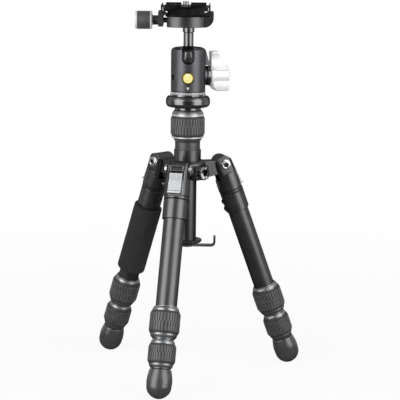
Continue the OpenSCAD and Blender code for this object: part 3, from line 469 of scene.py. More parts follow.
# Twist lock collars: turned aluminium nuts, anodised gunmetal, that squeeze the split collets.
# A polished round shoulder shows at both ends, with a small lip, and the rubber sits between them.
def collar(length, grip_r, bore_top, bore_low):
    end_r, seat_r = grip_r - 3.5, grip_r - 1.8
    outline = [
        (bore_low, 0), (end_r, 0, 0.15), (end_r + 0.1, 0.7, 0.1), (end_r + 0.15, 0.8, 0.1),
        (end_r + 0.9, 1.3, 0.8), (seat_r - 0.1, 2.9, 1.2), (seat_r, 4.2, 0.4),
    ]
    upper = [(p[0], length - p[1]) + tuple(p[2:]) for p in reversed(outline[1:])]
    outline += upper + [(bore_top, length, 0.2), (bore_top, 3.2, 0), (bore_low, 3.2, 0)]
    return turned(eased(outline, 0.2))


twist_locks = (
    ("upper", 130.0, 30.2, 14.3, 10.35, 8.55), ("lower", 160.5, 27.4, 13.0, 8.55, 6.75)
)
for leg in leg_turns:
    gunmetal = finish(
        leg + "_gunmetal_turned", (0.36, 0.365, 0.375), 0.40, metal=1.0, axes=leg_axes(leg),
        stretch=(0.25, 0.25, 4), grain=900, relief=0.006, shift_share=0.08,
        tint=(0.4, 0.4, 0.4),
    )
    for which, top, length, grip_r, bore_top, bore_low in twist_locks:
        place = leg_axes(leg) @ shift(0, 0, -top - length)
        nut = made(
            f"{leg}_{which}_lock_nut", collar(length, grip_r, bore_top, bore_low), place, gunmetal,
        )
        seat(nut, f"{leg}_{which}_lock", "ring_metal", f"{leg}_{which}_collar")

# Twist lock grips: black rubber sleeves moulded over the collars. Two staggered rows of long
# rounded ribs stand round each sleeve, and both its ends are bevelled. The sleeve between the
# ribs is a darker rubber, as painted shade, and the rib crests are paler, as a painted highlight.
# The paler edge colour of this rubber is a painted highlight on the rib crests.
rubber = finish(
    "moulded_grip_rubber", (0.060, 0.061, 0.064), 0.40, grain=3200, relief=0.015, cloud=120,
    shift_share=0.22, edge_wear_and_sheen=(0.15, 0.152, 0.155), ior=1.8,
)
# A darker rubber for the sleeve between the ribs: painted shade in the grooves.
shaded_groove_rubber = finish(
    "painted_shade_groove_rubber", (0.034, 0.034, 0.036), 0.55, grain=3200, relief=0.015, cloud=120,
)


def rib(radius, width, height, low, top):
    """A raised rib with round ends that stands along a sleeve."""
    form = bmesh.new()
    ends = [(1 - math.cos(math.radians(a)), math.sin(math.radians(a))) for a in (12, 40, 65, 90)]
    stations = [(low + width / 2 * e, f) for e, f in ends]
    stations += [(top - width / 2 * e, f) for e, f in reversed(ends)]
    rings = []
    for z, full in stations:
        ring = [form.verts.new((radius - 0.3, -width / 2 * full, z))]
        for k in range(7):
            angle = math.pi * k / 6
            ring.append(form.verts.new((
                radius + height * math.sin(angle) ** 0.5 * full ** 0.5,
                -math.cos(angle) * width / 2 * full, z,
            )))
        ring.append(form.verts.new((radius - 0.3, width / 2 * full, z)))
        rings.append(ring)
    for below, above in zip(rings, rings[1:]):
        for k, corner in enumerate(below):
            j = (k + 1) % len(below)
            form.faces.new((corner, below[j], above[j], above[k]))
    form.faces.new(rings[0])
    form.faces.new(list(reversed(rings[-1])))
    return form


def grip(length, radius, bore, ribs, split=0.52):
    """A ribbed sleeve that stands on the floor of its own drawing."""
    skin_r, lip, bevel = radius - 0.65, 1.5, 1.1
    sleeve = turned(eased(
        [(bore, 0), (radius - bevel, 0, 0.25), (skin_r, lip, 0.8), (skin_r, length - lip, 0.8),
         (radius - bevel, length, 0.25), (bore, length)], 0.1, 3,
    ))
    step = 2 * math.pi / ribs
    width, gap, meet = 0.74 * step * radius, 0.25, 0.45
    middle = length * split
    low = rib(skin_r, width, 0.62, lip + gap, middle + meet)
    high = moved(
        rib(skin_r, width, 0.62, middle - meet, length - lip - gap), turn(math.degrees(step) / 2, "Z")
    )
    whole = repeated(joined(low, high), ribs, rubber, turn_each=(0, 0, step))
    # The ribs take the paler rubber, and the sleeve keeps the darker one, which is painted shade.
    for face in whole.faces:
        face.material_index = 1
    return joined(sleeve, whole)


grip_inset, grip_ribs = 4.6, 30
for leg in leg_turns:
    for which, top, length, grip_r, bore_top, bore_low in twist_locks:
        place = leg_axes(leg) @ shift(0, 0, -top - length + grip_inset)
        sleeve = made(
            f"{leg}_{which}_ribbed_grip",
            grip(length - 2 * grip_inset, grip_r, grip_r - 1.75, grip_ribs), place, shaded_groove_rubber,
            rubber,
        )
        seat(sleeve, f"{leg}_{which}_lock", "grip_rubber", f"{leg}_{which}_grip")

# Feet: black rubber boots pressed on the lower tubes, with a flared skirt and a round tread. Fine
# grip rings are moulded into the tread, and a bead finishes the top edge.
boot_rubber = finish(
    "boot_rubber", (0.045, 0.046, 0.048), 0.32, grain=2400, relief=0.006, cloud=90,
    shift_share=0.18, ior=1.95,
)
foot_centre, foot_r = 204.0, 11.7


def boot():
    tread = []
    for angle in range(0, 91, 3):
        dip = 0.28 if angle in range(18, 49, 6) else 0.0
        reach = math.radians(angle)
        tread.append(((foot_r - dip) * math.sin(reach), -(foot_r - dip) * math.cos(reach)))
    skirt = [
        (11.85, 2), (11.95, 4), (11.9, 6), (11.7, 8), (11.35, 10), (10.75, 12.9), (10.45, 14.3),
        (10.3, 14.9), (10.05, 15.35), (9.6, 15.6), (6.46, 15.6), (6.46, 0), (0, 0),
    ]
    return turned(tread + skirt, closed=False)


for leg in leg_turns:
    place = leg_axes(leg) @ shift(0, 0, -foot_centre)
    foot = made(leg + "_rubber_boot", boot(), place, boot_rubber, crease=55)
    seat(foot, leg + "_lower", "grip_rubber", leg + "_foot")

# Foam grip: a sleeve of closed-cell foam stretched over the left upper tube. Its ends are softly
# rounded, and its face is slightly uneven, with fine open pores.
foam = finish(
    "closed_cell_foam", (0.020, 0.020, 0.021), 0.9, grain=1900, relief=0.09, cloud=260,
    shift_share=0.45,
)
foam_top, foam_length, foam_r, foam_bore, foam_round = 49.5, 71.0, 14.0, 10.3, 2.3


def foam_sleeve():
    corners = [(foam_bore, 0, 0), (foam_r, 0), (foam_r, foam_length), (foam_bore, foam_length, 0)]
    outline = []
    rounded = eased(corners, foam_round, 6)
    for here, ahead in zip(rounded, rounded[1:] + rounded[:1]):
        steps = max(1, int(math.dist(here, ahead) / 0.9))
        for k in range(steps):
            s = k / steps
            outline.append((here[0] + (ahead[0] - here[0]) * s, here[1] + (ahead[1] - here[1]) * s))
    form = turned(outline, sides=120)
    for v in form.verts:
        radius = math.hypot(v.co.x, v.co.y)
        if radius > foam_bore + 0.5:
            rough = 0.10 * noise.noise(v.co * 0.16) + 0.05 * noise.noise(v.co * 0.9)
            fall = (radius - foam_bore) / (foam_r - foam_bore)
            factor = 1 + (rough - 0.12) * fall / radius
            v.co.x, v.co.y = v.co.x * factor, v.co.y * factor
    return form


place = leg_axes("left") @ shift(0, 0, -foam_top - foam_length)
foam_piece = made("left_foam_sleeve", foam_sleeve(), place, foam, crease=70)
seat(foam_piece, "left_leg", "foam", "left_foam_grip")

# Hub: the cast aluminium spider with three lugs for the legs and lightened side blocks, powder
# coated like the yokes. Its accessory port is a bright threaded insert pressed into one block.
softened("spider", "cast_hub", casting, 0.35, "spider", "casting")
insert_metal = finish(
    "bright_insert", (0.78, 0.785, 0.79), 0.36, metal=0.3, grain=1800, relief=0.006, cloud=150,
)
insert = softened(
    "accessory_port", "threaded_port_insert", insert_metal, 0.14, "spider", "bright_metal"
)
insert.data.materials.append(shade_and_print_black)
port_turn, port_high, port_bore = 47.2, 197.03, 3.3
to_port = (turn(port_turn, "Z") @ shift(0, 0, port_high) @ turn(90, "X")).inverted()
# The faces inside the bore take the black: painted shade in the threaded hole.
for face in insert.data.polygons:
    spot = to_port @ face.center
    if math.hypot(spot.x, spot.y) < port_bore * mm:
        face.material_index = 1

# Column sleeve and bush: a turned aluminium sleeve, anodised dark grey, pressed into the hub. Its
# stub takes the column lock, and a slit nylon bush lines it.
sleeve_metal = finish(
    "sleeve_anodised", (0.150, 0.151, 0.155), 0.46, metal=1.0, stretch=(0.3, 0.3, 4), grain=900,
    relief=0.006, shift_share=0.08, tint=(0.3, 0.3, 0.3),
)
sleeve_bore, hub_low, collar_top, sleeve_top = 10.27, 192.08, 218.03, 225.23
sleeve_form = turned(eased(
    [(sleeve_bore, hub_low), (11.2, hub_low), (11.2, collar_top, 0), (12.05, collar_top, 0.15),
     (12.05, 220.2, 0.05), (11.9, 220.3, 0.05), (11.9, 220.5, 0.05), (12.05, 220.6, 0.05),
     (12.05, sleeve_top, 0.5), (11.4, sleeve_top, 0), (11.4, 246.03), (sleeve_bore, 246.03)], 0.2,
))
sleeve = made("column_guide_sleeve", sleeve_form, None, sleeve_metal)
seat(sleeve, "spider", "sleeve_metal", "column_sleeve")


def dress(cad_name, skin):
    """Gives a CAD node that keeps its shape its finish."""
    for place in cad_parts[cad_name].material_slots:
        place.material = skin


dress("column_bush", nylon)

# Centre column: a drawn and anodised aluminium tube. A moulded nylon plug with a wide flange
# closes its lower end and stops it from being pulled out.
column_skin = finish(
    "column_drawn_anodised", (0.135, 0.136, 0.140), 0.30, metal=1.0, stretch=(1, 1, 0.03),
    grain=1300, relief=0.006, shift_share=0.08, rough_share=0.15, tint=(0.25, 0.25, 0.25),
)
column_low, column_high = 130.28, 265.98
column = made(
    "centre_column_tube", turned(eased(
        [(7.7, column_low), (9.0, column_low), (9.0, column_high), (7.7, column_high)], 0.25, 3,
    )), None, column_skin,
)
seat(column, "column", "tube_metal", "column_tube")
plug = turned(eased(
    [(2.57, 127.48), (13.4, 127.48, 0.4), (14.5, 128.3, 0.5), (14.5, column_low, 0.6),
     (9.2, column_low, 0), (7.65, column_low, 0), (7.65, 138.28, 0.5), (4, 138.28, 0),
     (4, 135.28, 0), (2.57, 135.28, 0)], 0.3,
))
seat(made("column_end_plug", plug, None, nylon), "column", "nylon", "column_end")

# Ballast hook: a flat steel strip bent up at its end and painted black, that swivels on a pin
# under the column's plug.
painted_steel = finish(
    "black_painted_steel", (0.022, 0.022, 0.024), 0.35, metal=0.0, grain=2000, relief=0.012,
    edge_wear_and_sheen=(0.2, 0.2, 0.2), coat=0.3,
)
strip_low, strip_top, hook_reach, hook_tip = 123.18, 125.38, 28.0, 133.68


def strip_outline(bend=4.4, steps=6):
    thick = strip_top - strip_low
    centre_x, centre_z = hook_reach - bend, strip_low + bend
    outer, inner = [], []
    for k in range(steps + 1):
        angle = math.pi / 2 * (k / steps - 1)
        for radius, row in ((bend, outer), (bend - thick, inner)):
            row.append((centre_x + radius * math.cos(angle), centre_z + radius * math.sin(angle)))
    return (
        [(0, strip_low)] + outer + [(hook_reach, hook_tip), (hook_reach - thick, hook_tip)]
        + list(reversed(inner)) + [(0, strip_top)]
    )


strip = moved(prism(strip_outline(), 6), turn(-90, "Z"))
pivot = turned(
    [(0, strip_low), (6, strip_low), (6, strip_top), (5, strip_top), (5, 127.28), (2.5, 127.28),
     (2.5, 132.4), (0, 132.4)], sides=64, closed=False,
)
hook = made("ballast_hook", joined(strip, pivot), None, painted_steel, ease=0.35)
seat(hook, "hook", "casting", "hook")

# Column lock: the same kind of nut as on the legs, but larger, with a cone and a ring at each end
# of its ribbed rubber sleeve. Both rings are a paler metal, as a painted highlight.
column_gunmetal = finish(
    "column_gunmetal_turned", (0.36, 0.365, 0.375), 0.40, metal=1.0, stretch=(0.25, 0.25, 4),
    grain=900, relief=0.006, shift_share=0.08, tint=(0.4, 0.4, 0.4),
)
lock_low, lock_length = 225.53, 30.4
nut_form = turned(eased(
    [(11.75, 0), (12.1, 0, 0.1), (13.9, 3.4, 1.2), (15.3, 4.0, 0.4), (15.3, 5.4, 0.3),
     (14.6, 5.4, 0), (14.6, 25, 0), (15.3, 25, 0.3), (15.3, 26.5, 0.8), (14.6, 28.0, 1.5),
     (13.2, 30.4, 0.3), (9.35, 30.4), (9.35, 24.5, 0), (11.75, 24.5, 0)], 0.2,
))
ring_r = 14.7
ring_highlight_paint = finish(
    "painted_highlight_lock_ring", (0.62, 0.625, 0.63), 0.38, metal=0.6, stretch=(0.25, 0.25, 4),
    grain=900, relief=0.006, shift_share=0.08,
)
# Faces beyond ring_r take the paler metal: a painted highlight on both rings.
for face in nut_form.faces:
    if min(math.hypot(v.co.x, v.co.y) for v in face.verts) > ring_r:
        face.material_index = 1
nut = made("column_lock_nut", nut_form, shift(0, 0, lock_low), column_gunmetal, ring_highlight_paint)
seat(nut, "column_lock", "ring_metal", "column_lock_collar")
sleeve = made(
    "column_ribbed_grip", grip(lock_length - 11.2, 16.5, 14.65, 34), shift(0, 0, lock_low + 5.6),
    shaded_groove_rubber, rubber,
)
seat(sleeve, "column_lock", "grip_rubber", "column_lock_grip")

# Platform: a turned aluminium disc, anodised gloss black with a round rim, that caps the column.
# A flanged stud through it holds the head.
gloss_black = finish(
    "gloss_black_anodised", (0.200, 0.200, 0.204), 0.24, metal=1.0, grain=1200, relief=0.003,
    cloud=90, shift_share=0.1, tint=(0.15, 0.15, 0.15),
)
platform = turned(eased(
    [(9.05, 256.23, 0.1), (12.35, 256.23, 0.3), (12.35, 258.73, 0.2), (16.5, 258.73, 0.8),
     (19.6, 259.5, 1.4), (21.15, 262.0, 2.8), (21.15, 266.6, 2.8), (19.6, 269.2, 1.4),
     (18.0, 269.43, 0.3), (4.81, 269.43, 0), (4.81, 266.03, 0), (9.05, 266.03, 0)], 0.3, 6,
))
disc = made("platform_disc_rim", platform, None, gloss_black)
seat(disc, "column", "gloss_black", "platform_disc")
dress("head_stud", steel)

# Pan base: a turned ring, anodised grey, that the head turns on. White tick marks every five
# degrees and bold numbers every forty-five are filled into it.
pan_metal = finish(
    "pan_scale_anodised", (0.16, 0.163, 0.17), 0.3, metal=1.0, stretch=(0.3, 0.3, 4), grain=900,
    relief=0.006, tint=(0.6, 0.6, 0.6),
)
white_paint = finish("white_filler_paint", (0.80, 0.80, 0.79), 0.45, grain=1500, relief=0.006)
scale_low, scale_high, scale_r = 269.43, 274.13, 16.75
ring = turned(eased(
    [(0, scale_low, 0), (scale_r - 0.2, scale_low, 0.2), (scale_r, scale_low + 0.3, 0.1),
     (scale_r, 273.3, 0.15), (16.35, scale_high, 0.2), (8, scale_high, 0), (8, 280.1, 0),
     (0, 280.1, 0)], 0.2,
), closed=False)
seat(made("pan_scale_ring", ring, None, pan_metal), "column", "ring_metal", "pan_base")


def tick(low, high, width):
    face, back = -scale_r - 0.03, -scale_r + 0.2
    return prism([(face, low), (back, low), (back, high), (face, high)], width)


tick_low, tick_high, tick_width, tick_step = 271.5, 273.6, 0.62, 5
number_step, first_number, number_low = 45, 17.5, 269.75
forms = [repeated(
    tick(tick_low, tick_high, tick_width), 360 // tick_step, white_paint,
    turn_each=(0, 0, math.radians(tick_step)),
)]
for number in range(0, 360, number_step):
    curve = bpy.data.curves.new("degrees", "FONT")
    curve.body, curve.size, curve.align_x = str(number), 2.35, "CENTER"
    curve.extrude, curve.offset, curve.resolution_u = 0.05, 0.06, 3
    word = bpy.data.objects.new("degrees", curve)
    bpy.context.scene.collection.objects.link(word)
    word = plain(word, "degrees_flat")
    flat = bmesh.new()
    flat.from_mesh(word.data)
    bpy.data.objects.remove(word)
    for v in flat.verts:
        angle = v.co.x / scale_r + math.radians(first_number + number)
        reach = scale_r - 0.02 + v.co.z
        v.co = Vector((reach * math.sin(angle), -reach * math.cos(angle), number_low + v.co.y))
    forms.append(flat)
marks = made("pan_scale_marks", joined(*forms), None, white_paint)
seat(marks, "column", "ring_metal")

# Head body: a machined aluminium ball housing, bead blasted and anodised dark grey, with the drop
# notch at the front. A white index mark points down at the pan scale.
head_skin = finish(
    "bead_blasted_anodised", (0.138, 0.140, 0.147), 0.44, metal=1.0, grain=3000, relief=0.012,
    edge_wear_and_sheen=(0.2, 0.2, 0.21), tint=(0.3, 0.3, 0.3), cloud=110, shift_share=0.08,
)
head_r = 16.5
softened("head_body", "ball_housing", head_skin, 0.5, "head", "head_metal")
index = bmesh.new()
triangle = [(-1.3, 279.0), (1.3, 279.0), (0.0, 276.2)]
layers = [
    [index.verts.new((x, -math.sqrt((head_r + depth) ** 2 - x * x), z)) for x, z in triangle]
    for depth in (-0.2, 0.04)
]
index.faces.new(layers[0])
index.faces.new(layers[1])
for i in range(3):
    j = (i + 1) % 3
    index.faces.new((layers[0][i], layers[0][j], layers[1][j], layers[1][i]))
seat(made("pan_index_mark", index, None, white_paint), "head", "head_metal")
dress("ball_cup", nylon)

# Bubble level: a round vial of yellow fluid with a domed face, pressed into a dark gold rim at the
# front of the head. A thin black ring is printed on it, and the bubble lies above the ring.
gold = finish("dark_gold_rim", (0.30, 0.21, 0.03), 0.3, metal=1.0, grain=1500, relief=0.004)
fluid = finish(
    "yellow_level_fluid", (0.94, 0.86, 0.34), 0.12, grain=300, relief=0.002, coat=1.0, cloud=260,
    shift_share=0.05,
)
bubble_skin = finish(
    "bubble_highlight", (0.97, 0.95, 0.70), 0.08, grain=300, relief=0.002, coat=1.0,
)


def outward(angle, high):
    """A direction level with the floor that points away from the column, as the Z of a frame."""
    return turn(angle, "Z") @ shift(0, 0, high) @ turn(90, "X")


level_axes = outward(0, 287.53)
rim = turned(eased(
    [(4.7, 14.2, 0), (5.5, 14.2, 0), (5.5, 16.7, 0.2), (5.2, 16.85, 0.1), (4.9, 16.85, 0.1),
     (4.7, 16.5, 0.1)], 0.1, 3,
))
seat(made("level_rim", rim, level_axes, gold), "head", "level", "bubble_level")
vial = turned(
    [(0, 14.3), (4.66, 14.3), (4.66, 16.2), (4.5, 16.36), (4.0, 16.47), (3.0, 16.57), (1.5, 16.64),
     (0, 16.66)], closed=False,
)
seat(made("level_vial", vial, level_axes, fluid, crease=60), "head", "level")
circle = turned([(2.0, 16.5), (2.14, 16.5), (2.14, 16.66), (2.0, 16.67)], sides=64)
seat(made("level_ring_print", circle, level_axes, shade_and_print_black), "head", "level")
bubble = turned(
    [(0, 16.4), (1.3, 16.4), (1.3, 16.58), (1.15, 16.68), (0.8, 16.74), (0.4, 16.77), (0, 16.78)],
    sides=48, closed=False,
)
bubble = made("level_bubble", bubble, level_axes @ shift(0, 3.0, 0), bubble_skin, crease=60)
seat(bubble, "head", "level")

# Ball and stem: a turned aluminium ball, polished and anodised black, with the stem screwed into
# it. A collar and a fine groove finish the stem below the clamp.
ball_high, ball_r = 306.07, 12.0
arc = [
    (ball_r * math.sin(math.radians(a)), ball_high - ball_r * math.cos(math.radians(a)))
    for a in range(0, 181, 4)
]
seat(made("polished_ball", turned(arc, closed=False), None, gloss_black), "ball", "gloss_black", "ball")
stem_form = turned(
    [(0, 318.1), (2.4, 317.9), (4.75, 317.2), (4.75, 329.25), (4.45, 329.45), (4.45, 329.85),
     (5.1, 330.1), (5.5, 330.3), (5.6, 330.6), (5.6, 334.8), (5.45, 335.1), (5.2, 335.17),
     (2.5, 335.17), (2.5, 340.7), (0, 340.7)], sides=72, closed=False,
)
seat(made("polished_stem", stem_form, None, gloss_black), "stem", "gloss_black", "stem")

# Ball lock knob: a cast aluminium winged lever, satin bright, on a gloss black washer. The upper
# wing narrows and falls back towards the head for the thumb, and the lower one is a thick block.
lever_metal = finish(
    "satin_bright_lever", (0.82, 0.825, 0.83), 0.34, metal=0.25, grain=1600, relief=0.006,
    cloud=130, shift_share=0.04,
)
lock_axes = outward(107, 288.53)
washer = turned(eased(
    [(3.1, 17.1, 0), (8.6, 17.1, 0.3), (9.35, 18.0, 0.8), (9.35, 20.55, 0.4), (3.1, 20.55, 0)],
    0.3,
))
seat(made("ball_lock_washer", washer, lock_axes, gloss_black), "ball_lock", "gloss_black")


def lofted(stations, corner=1.6, steps=4):
    """A block that runs along Y: each station gives its height, its span of Z and half its width."""
    form = bmesh.new()
    rings = []
    for y, low, high, half in stations:
        box = [(-half, low), (half, low), (half, high), (-half, high)]
        points = eased([(x, z, corner) for x, z in box], corner, steps)
        rings.append([form.verts.new((x, y, z)) for x, z in points])
    for below, above in zip(rings, rings[1:]):
        for k, point in enumerate(below):
            j = (k + 1) % len(below)
            form.faces.new((point, below[j], above[j], above[k]))
    form.faces.new(rings[0])
    form.faces.new(list(reversed(rings[-1])))
    return form


upper_wing = lofted([
    (4, 21.6, 38.8, 7.9), (6.5, 21.6, 38.3, 6.9), (8.8, 21.6, 37.2, 5.6), (10.6, 21.6, 35.4, 4.7),
    (12.4, 21.6, 33.3, 4.1), (14.6, 21.6, 31.9, 3.7), (17, 21.6, 30.9, 3.6), (19.4, 21.6, 30.2, 4.0),
    (21.6, 21.6, 29.6, 4.7), (22.6, 21.8, 29.2, 4.7), (23.3, 22.3, 28.7, 4.1), (23.55, 22.9, 28.0, 3.2),
], corner=1.0)
lower_wing = lofted([
    (-14.5, 27.4, 38.0, 6.4), (-14.2, 26.7, 38.6, 7.3), (-13.4, 25.6, 38.95, 7.9),
    (-9.8, 21.9, 39.0, 8.3), (-5.4, 21.7, 39.0, 8.45), (-4.9, 21.7, 39.0, 7.9), (0, 21.7, 39.0, 7.9),
])
hub = turned(
    [(0, 4.1), (3, 4.1), (3, 20.65), (9.2, 20.65), (9.9, 21.1), (10, 21.8), (10, 24.4), (9.3, 25.9),
     (9.3, 37.6), (8.9, 38.6), (8.0, 39.0), (4.4, 39.0), (4.1, 38.4), (0, 38.4)],
    closed=False,
)
form = joined(upper_wing, lower_wing, hub)
lever = made("winged_lock_lever", form, lock_axes, lever_metal, crease=50)
seat(lever, "ball_lock", "bright_metal", "ball_lock_knob")

# Pan lock knob: a small ribbed thumb screw at the back of the head, anodised dark grey.
pan_axes = outward(180, 278.93)
thumb = turned(
    [(0, 8.4), (2, 8.4), (2, 17.2), (4.4, 17.2), (4.95, 17.8), (4.95, 26.2), (4.4, 27.0), (3.0, 27.0),
     (2.7, 26.7), (0, 26.7)], sides=64, closed=False,
)
thumb_rib = rib(4.75, 1.3, 0.6, 18.0, 26.0)
thumb_ribs = repeated(thumb_rib, 16, head_skin, turn_each=(0, 0, math.radians(22.5)))
pan_knob = made("pan_thumb_screw", joined(thumb, thumb_ribs), pan_axes, head_skin)
seat(pan_knob, "pan_lock", "head_metal", "pan_lock_knob")

# Clamp: the machined body with the fixed jaw, and the moving jaw on two guide pins, both bead
# blasted and anodised dark grey.
clamp_skin = finish(
    "clamp_anodised", (0.125, 0.126, 0.130), 0.38, metal=1.0, grain=3000, relief=0.012,
    edge_wear_and_sheen=(0.18, 0.18, 0.19), tint=(0.3, 0.3, 0.3), cloud=110, shift_share=0.08,
)
softened("clamp_body", "clamp_body_casting", clamp_skin, 0.3, "clamp", "head_metal")
softened("clamp_jaw", "clamp_moving_jaw", clamp_skin, 0.25, "jaw", "head_metal")

# Clamp knob: a bright turned aluminium core on the clamp screw, with a polished rim at both ends
# of a knurled black rubber sleeve.
knob_metal = finish(
    "bright_turned_knob", (0.78, 0.785, 0.79), 0.34, metal=0.3, stretch=(4, 0.3, 0.3), grain=900,
    relief=0.006,
)
knob_axes = shift(-28.9, 0, 341.27) @ turn(-90, "Y")
knob_r, knob_low, knob_high, knob_rim = 8.75, 5.7, 21.8, 1.9
core = turned(eased(
    [(0, -18.4, 0), (2.5, -18.4, 0.2), (2.5, 0, 0), (4.2, 0, 0.2), (4.5, 0.5, 0.2), (4.5, 5.0, 0.4),
     (5.6, knob_low, 0.2), (8.3, knob_low, 0.3), (knob_r, 6.3, 0.2), (knob_r, knob_low + knob_rim, 0.1),
     (7.65, knob_low + knob_rim, 0), (7.65, knob_high - knob_rim, 0), (knob_r, knob_high - knob_rim, 0.1),
     (knob_r, 20.9, 0.2), (8.1, knob_high, 0.3), (6.2, knob_high, 0.1), (5.9, 21.5, 0.1),
     (5.2, 21.5, 0.1), (4.9, knob_high, 0.1), (0, knob_high, 0)], 0.2,
), closed=False)
for face in core.faces:
    if max(v.co.z for v in face.verts) < 5.1:
        face.material_index = 1
core = made("clamp_knob_core", core, knob_axes, knob_metal, clamp_skin)
seat(core, "clamp_knob", "knob_metal", "clamp_knob")


def knurled_sleeve(low, high, radius, bore, around, rows):
    sleeve = turned(eased([(bore, low), (radius, low), (radius, high), (bore, high)], 0.25, 3))
    step, pitch = 2 * math.pi / around, (high - low - 0.6) / rows
    bumps = []
    for row in range(rows):
        start = low + 0.3 + row * pitch
        bump = rib(radius - 0.05, 0.78 * step * radius, 0.32, start + 0.07, start + pitch - 0.07)
        bumps.append(moved(bump, turn(math.degrees(step) / 2 * (row % 2), "Z")))
    return joined(sleeve, repeated(joined(*bumps), around, rubber, turn_each=(0, 0, step)))


knurl = made(
    "clamp_knob_knurled_sleeve",
    knurled_sleeve(knob_low + knob_rim + 0.05, knob_high - knob_rim - 0.05, 8.4, 7.7, 42, 8),
    knob_axes, rubber,
)
seat(knurl, "clamp_knob", "grip_rubber", "clamp_knob_grip")

# Quick-release plate: machined aluminium, anodised satin black, with a dovetail foot, raised end
# lips and side edges whose grooves are cut bright. A ribbed rubber pad is glued on top.
plate_skin = finish(
    "satin_black_anodised_plate", (0.016, 0.016, 0.017), 0.36, metal=1.0, grain=2600, relief=0.01,
    edge_wear_and_sheen=(0.10, 0.10, 0.10), cloud=110, shift_share=0.2, tint=(0.2, 0.2, 0.2),
)
softened("plate", "quick_release_plate", plate_skin, 0.2, "plate", "plate_metal")
plate_mid, slab_low, slab_high, plate_half = -2.7, 350.87, 354.47, 25.0
cuts = []
for side in (-1, 1):
    for end in (-1, 1):
        cuts.append(moved(
            prism(
                [(-0.1, slab_low + 0.3), (0.05, slab_low + 0.3), (0.05, slab_high), (-0.1, slab_high)],
                0.9, side * 21.3,
            ),
            shift(plate_mid, end * plate_half, 0) @ turn(0 if end > 0 else 180, "Z"),
        ))
seat(made("plate_bright_cuts", joined(*cuts), None, bright), "plate", "plate_metal")
pad_rubber = finish(
    "black_pad_rubber", (0.022, 0.022, 0.023), 0.7, grain=3000, relief=0.02, shift_share=0.25,
)
pad_half, pad_high = 21.7, 355.27
pad_sheet = prism(
    [(-pad_half, slab_high - 0.25), (-pad_half, 355.0), (-pad_half + 0.2, 355.07),
     (pad_half - 0.2, 355.07), (pad_half, 355.0), (pad_half, slab_high - 0.25)], 34, plate_mid,
)
pad_rib = prism(
    [(-pad_half + 0.4, 355.0), (-pad_half + 0.4, 355.2), (-pad_half + 0.6, pad_high),
     (pad_half - 0.6, pad_high), (pad_half - 0.4, 355.2), (pad_half - 0.4, 355.0)], 0.55,
    plate_mid - 15.95,
)
rib_count, rib_pitch = 30, 1.1
ribs = repeated(pad_rib, rib_count, pad_rubber, move_each=(rib_pitch, 0, 0))
seat(
    made("plate_ribbed_pad", joined(pad_sheet, ribs), None, pad_rubber), "plate", "pad_rubber",
    "plate_pad",
)

# Camera screw: a turned steel screw with a slotted head that hangs in the plate, and the thread
# that goes into the camera.
screw_head_low, screw_r, neck_r, thread_r = 346.72, 7.0, 2.6, 3.175
thread_low, thread_high, pitch = 355.57, 359.47, 1.27
outline = [
    (0, screw_head_low, 0), (screw_r - 1, screw_head_low, 0.2), (screw_r, screw_head_low + 0.4, 0.2),
    (screw_r, screw_head_low + 2.2, 0.2), (neck_r, screw_head_low + 2.2, 0), (neck_r, thread_low, 0),
]
for turn_of_thread in range(3):
    start = thread_low + turn_of_thread * pitch
    outline += [
        (thread_r - 0.45, start, 0), (thread_r, start + 0.42, 0.05), (thread_r, start + 0.62, 0.05),
        (thread_r - 0.45, start + 1.05, 0.05),
    ]
outline += [(2.6, thread_high, 0.1), (0, thread_high, 0)]
screw = moved(turned(eased(outline, 0.1, 3), closed=False), shift(plate_mid, 0, 0))
seat(made("camera_screw_turned", screw, None, steel), "camera_screw", "steel", "camera_screw")

# Stage: a wide pale floor and a pale backdrop behind the object, with a dimmer room before it. Two
# tall lamps at the left and right of the camera give the tubes and the ball their long highlights.
half = 14.0
floor_form = bmesh.new()
floor_form.faces.new([
    floor_form.verts.new((x, y, 0)) for x, y in ((-half, -half), (half, -half), (half, half), (-half, half))
])
floor_mesh = bpy.data.meshes.new("studio_floor")
floor_form.to_mesh(floor_mesh)
floor_form.free()
floor = bpy.data.objects.new("studio_floor", floor_mesh)
bpy.context.scene.collection.objects.link(floor)
floor_skin = bpy.data.materials.new("studio_paper")
floor_skin.use_nodes = True
tree = floor_skin.node_tree
tree.nodes.clear()


def seen_directly(tree):
    """Whether a ray shows the bare backdrop: what the camera sees, also through clear parts."""
    rays = add(tree, "ShaderNodeLightPath").outputs
    return add(
        tree, "ShaderNodeMath", {0: rays["Is Camera Ray"], 1: rays["Is Transmission Ray"]},
        operation="MAXIMUM",
    ).outputs[0]


def mixed_numbers(tree, share, first, second):
    return add(tree, "ShaderNodeMix", {"Factor": share, "A": first, "B": second}).outputs[0]


# Reflections show the white paper behind the object, and a dimmer one towards the camera's side.
place = add(tree, "ShaderNodeTexCoord").outputs["Object"]
far = add(tree, "ShaderNodeVectorMath", {0: place}, operation="LENGTH").outputs["Value"]
white_share = add(
    tree, "ShaderNodeMapRange",
    {"Value": far, "From Min": 0.12, "From Max": 0.9, "To Min": 0.92, "To Max": 1.0},
).outputs[0]
along = add(tree, "ShaderNodeSeparateXYZ", {0: place}).outputs["Y"]
behind = add(tree, "ShaderNodeMapRange", {"Value": along, "From Min": 0.1, "From Max": 0.6}).outputs[0]
glossy = add(tree, "ShaderNodeLightPath").outputs["Is Glossy Ray"]
direct = add(
    tree, "ShaderNodeMath", {0: seen_directly(tree), 1: white_share}, operation="MULTIPLY"
).outputs[0]
mirrored = add(tree, "ShaderNodeMath", {0: behind, 1: 0.6}, operation="MULTIPLY").outputs[0]
paper_tone = mixed_numbers(tree, glossy, 0.9, mixed_numbers(tree, behind, 0.16, 0.9))
paper = add(tree, "ShaderNodeBsdfDiffuse", {"Color": paper_tone})
glow = add(tree, "ShaderNodeEmission", {"Color": (1, 1, 1, 1), "Strength": 1.0})
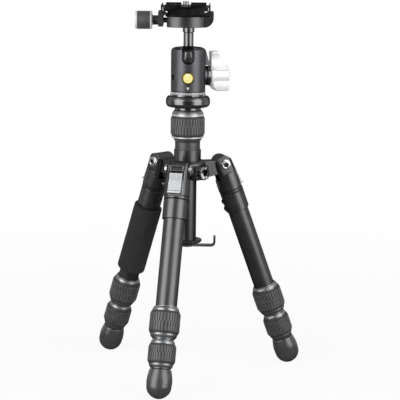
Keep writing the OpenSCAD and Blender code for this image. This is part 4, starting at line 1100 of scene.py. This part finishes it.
mix = add(tree, "ShaderNodeMixShader", {0: mixed_numbers(tree, glossy, direct, mirrored)})
tree.links.new(paper.outputs[0], mix.inputs[1])
tree.links.new(glow.outputs[0], mix.inputs[2])
add(tree, "ShaderNodeOutputMaterial", {"Surface": mix.outputs[0]})
floor_mesh.materials.append(floor_skin)

world = bpy.data.worlds.new("studio")
bpy.context.scene.world = world
world.use_nodes = True
tree = world.node_tree
tree.nodes.clear()
heading = add(tree, "ShaderNodeTexCoord").outputs["Generated"]
behind = add(tree, "ShaderNodeSeparateXYZ", {0: heading}).outputs["Y"]
mirrored = add(
    tree, "ShaderNodeMapRange",
    {"Value": behind, "From Min": -0.1, "From Max": 0.5, "To Min": 0.14, "To Max": 0.6},
).outputs[0]
direct = mixed_numbers(tree, seen_directly(tree), 0.2, 1.0)
glossy = add(tree, "ShaderNodeLightPath").outputs["Is Glossy Ray"]
level = mixed_numbers(tree, glossy, direct, mirrored)
surround = add(tree, "ShaderNodeBackground", {"Color": (1, 1, 1, 1), "Strength": level})
add(tree, "ShaderNodeOutputWorld", {"Surface": surround.outputs[0]})

aim, lamp_rise, lamp_width, lamp_height = Vector((0, 0, 0.2)), 0.35, 0.9, 1.3
for name, azimuth, strength in (("left_softbox", -49, 2.7), ("right_softbox", 53, 2.4)):
    lamp = bpy.data.lights.new(name, "AREA")
    lamp.shape, lamp.size, lamp.size_y = "RECTANGLE", lamp_width, lamp_height
    lamp.energy = strength * math.pi * lamp.size * lamp.size_y
    stand = bpy.data.objects.new(name, lamp)
    reach = math.radians(azimuth)
    stand.location = aim + Vector((math.sin(reach), -math.cos(reach), lamp_rise))
    stand.rotation_euler = (aim - stand.location).to_track_quat("-Z", "Y").to_euler()
    bpy.context.scene.collection.objects.link(stand)

lens = bpy.data.cameras.new("camera")
lens.lens, lens.sensor_width = 146.1, 36.0
camera = bpy.data.objects.new("camera", lens)
camera.location = (0.0125, -1.5467, 0.4301)
camera.rotation_euler = (math.radians(90 - 9.6), math.radians(-0.6), math.radians(0.1))
bpy.context.scene.collection.objects.link(camera)
bpy.context.scene.camera = camera
bpy.context.scene.view_settings.view_transform = "Standard"
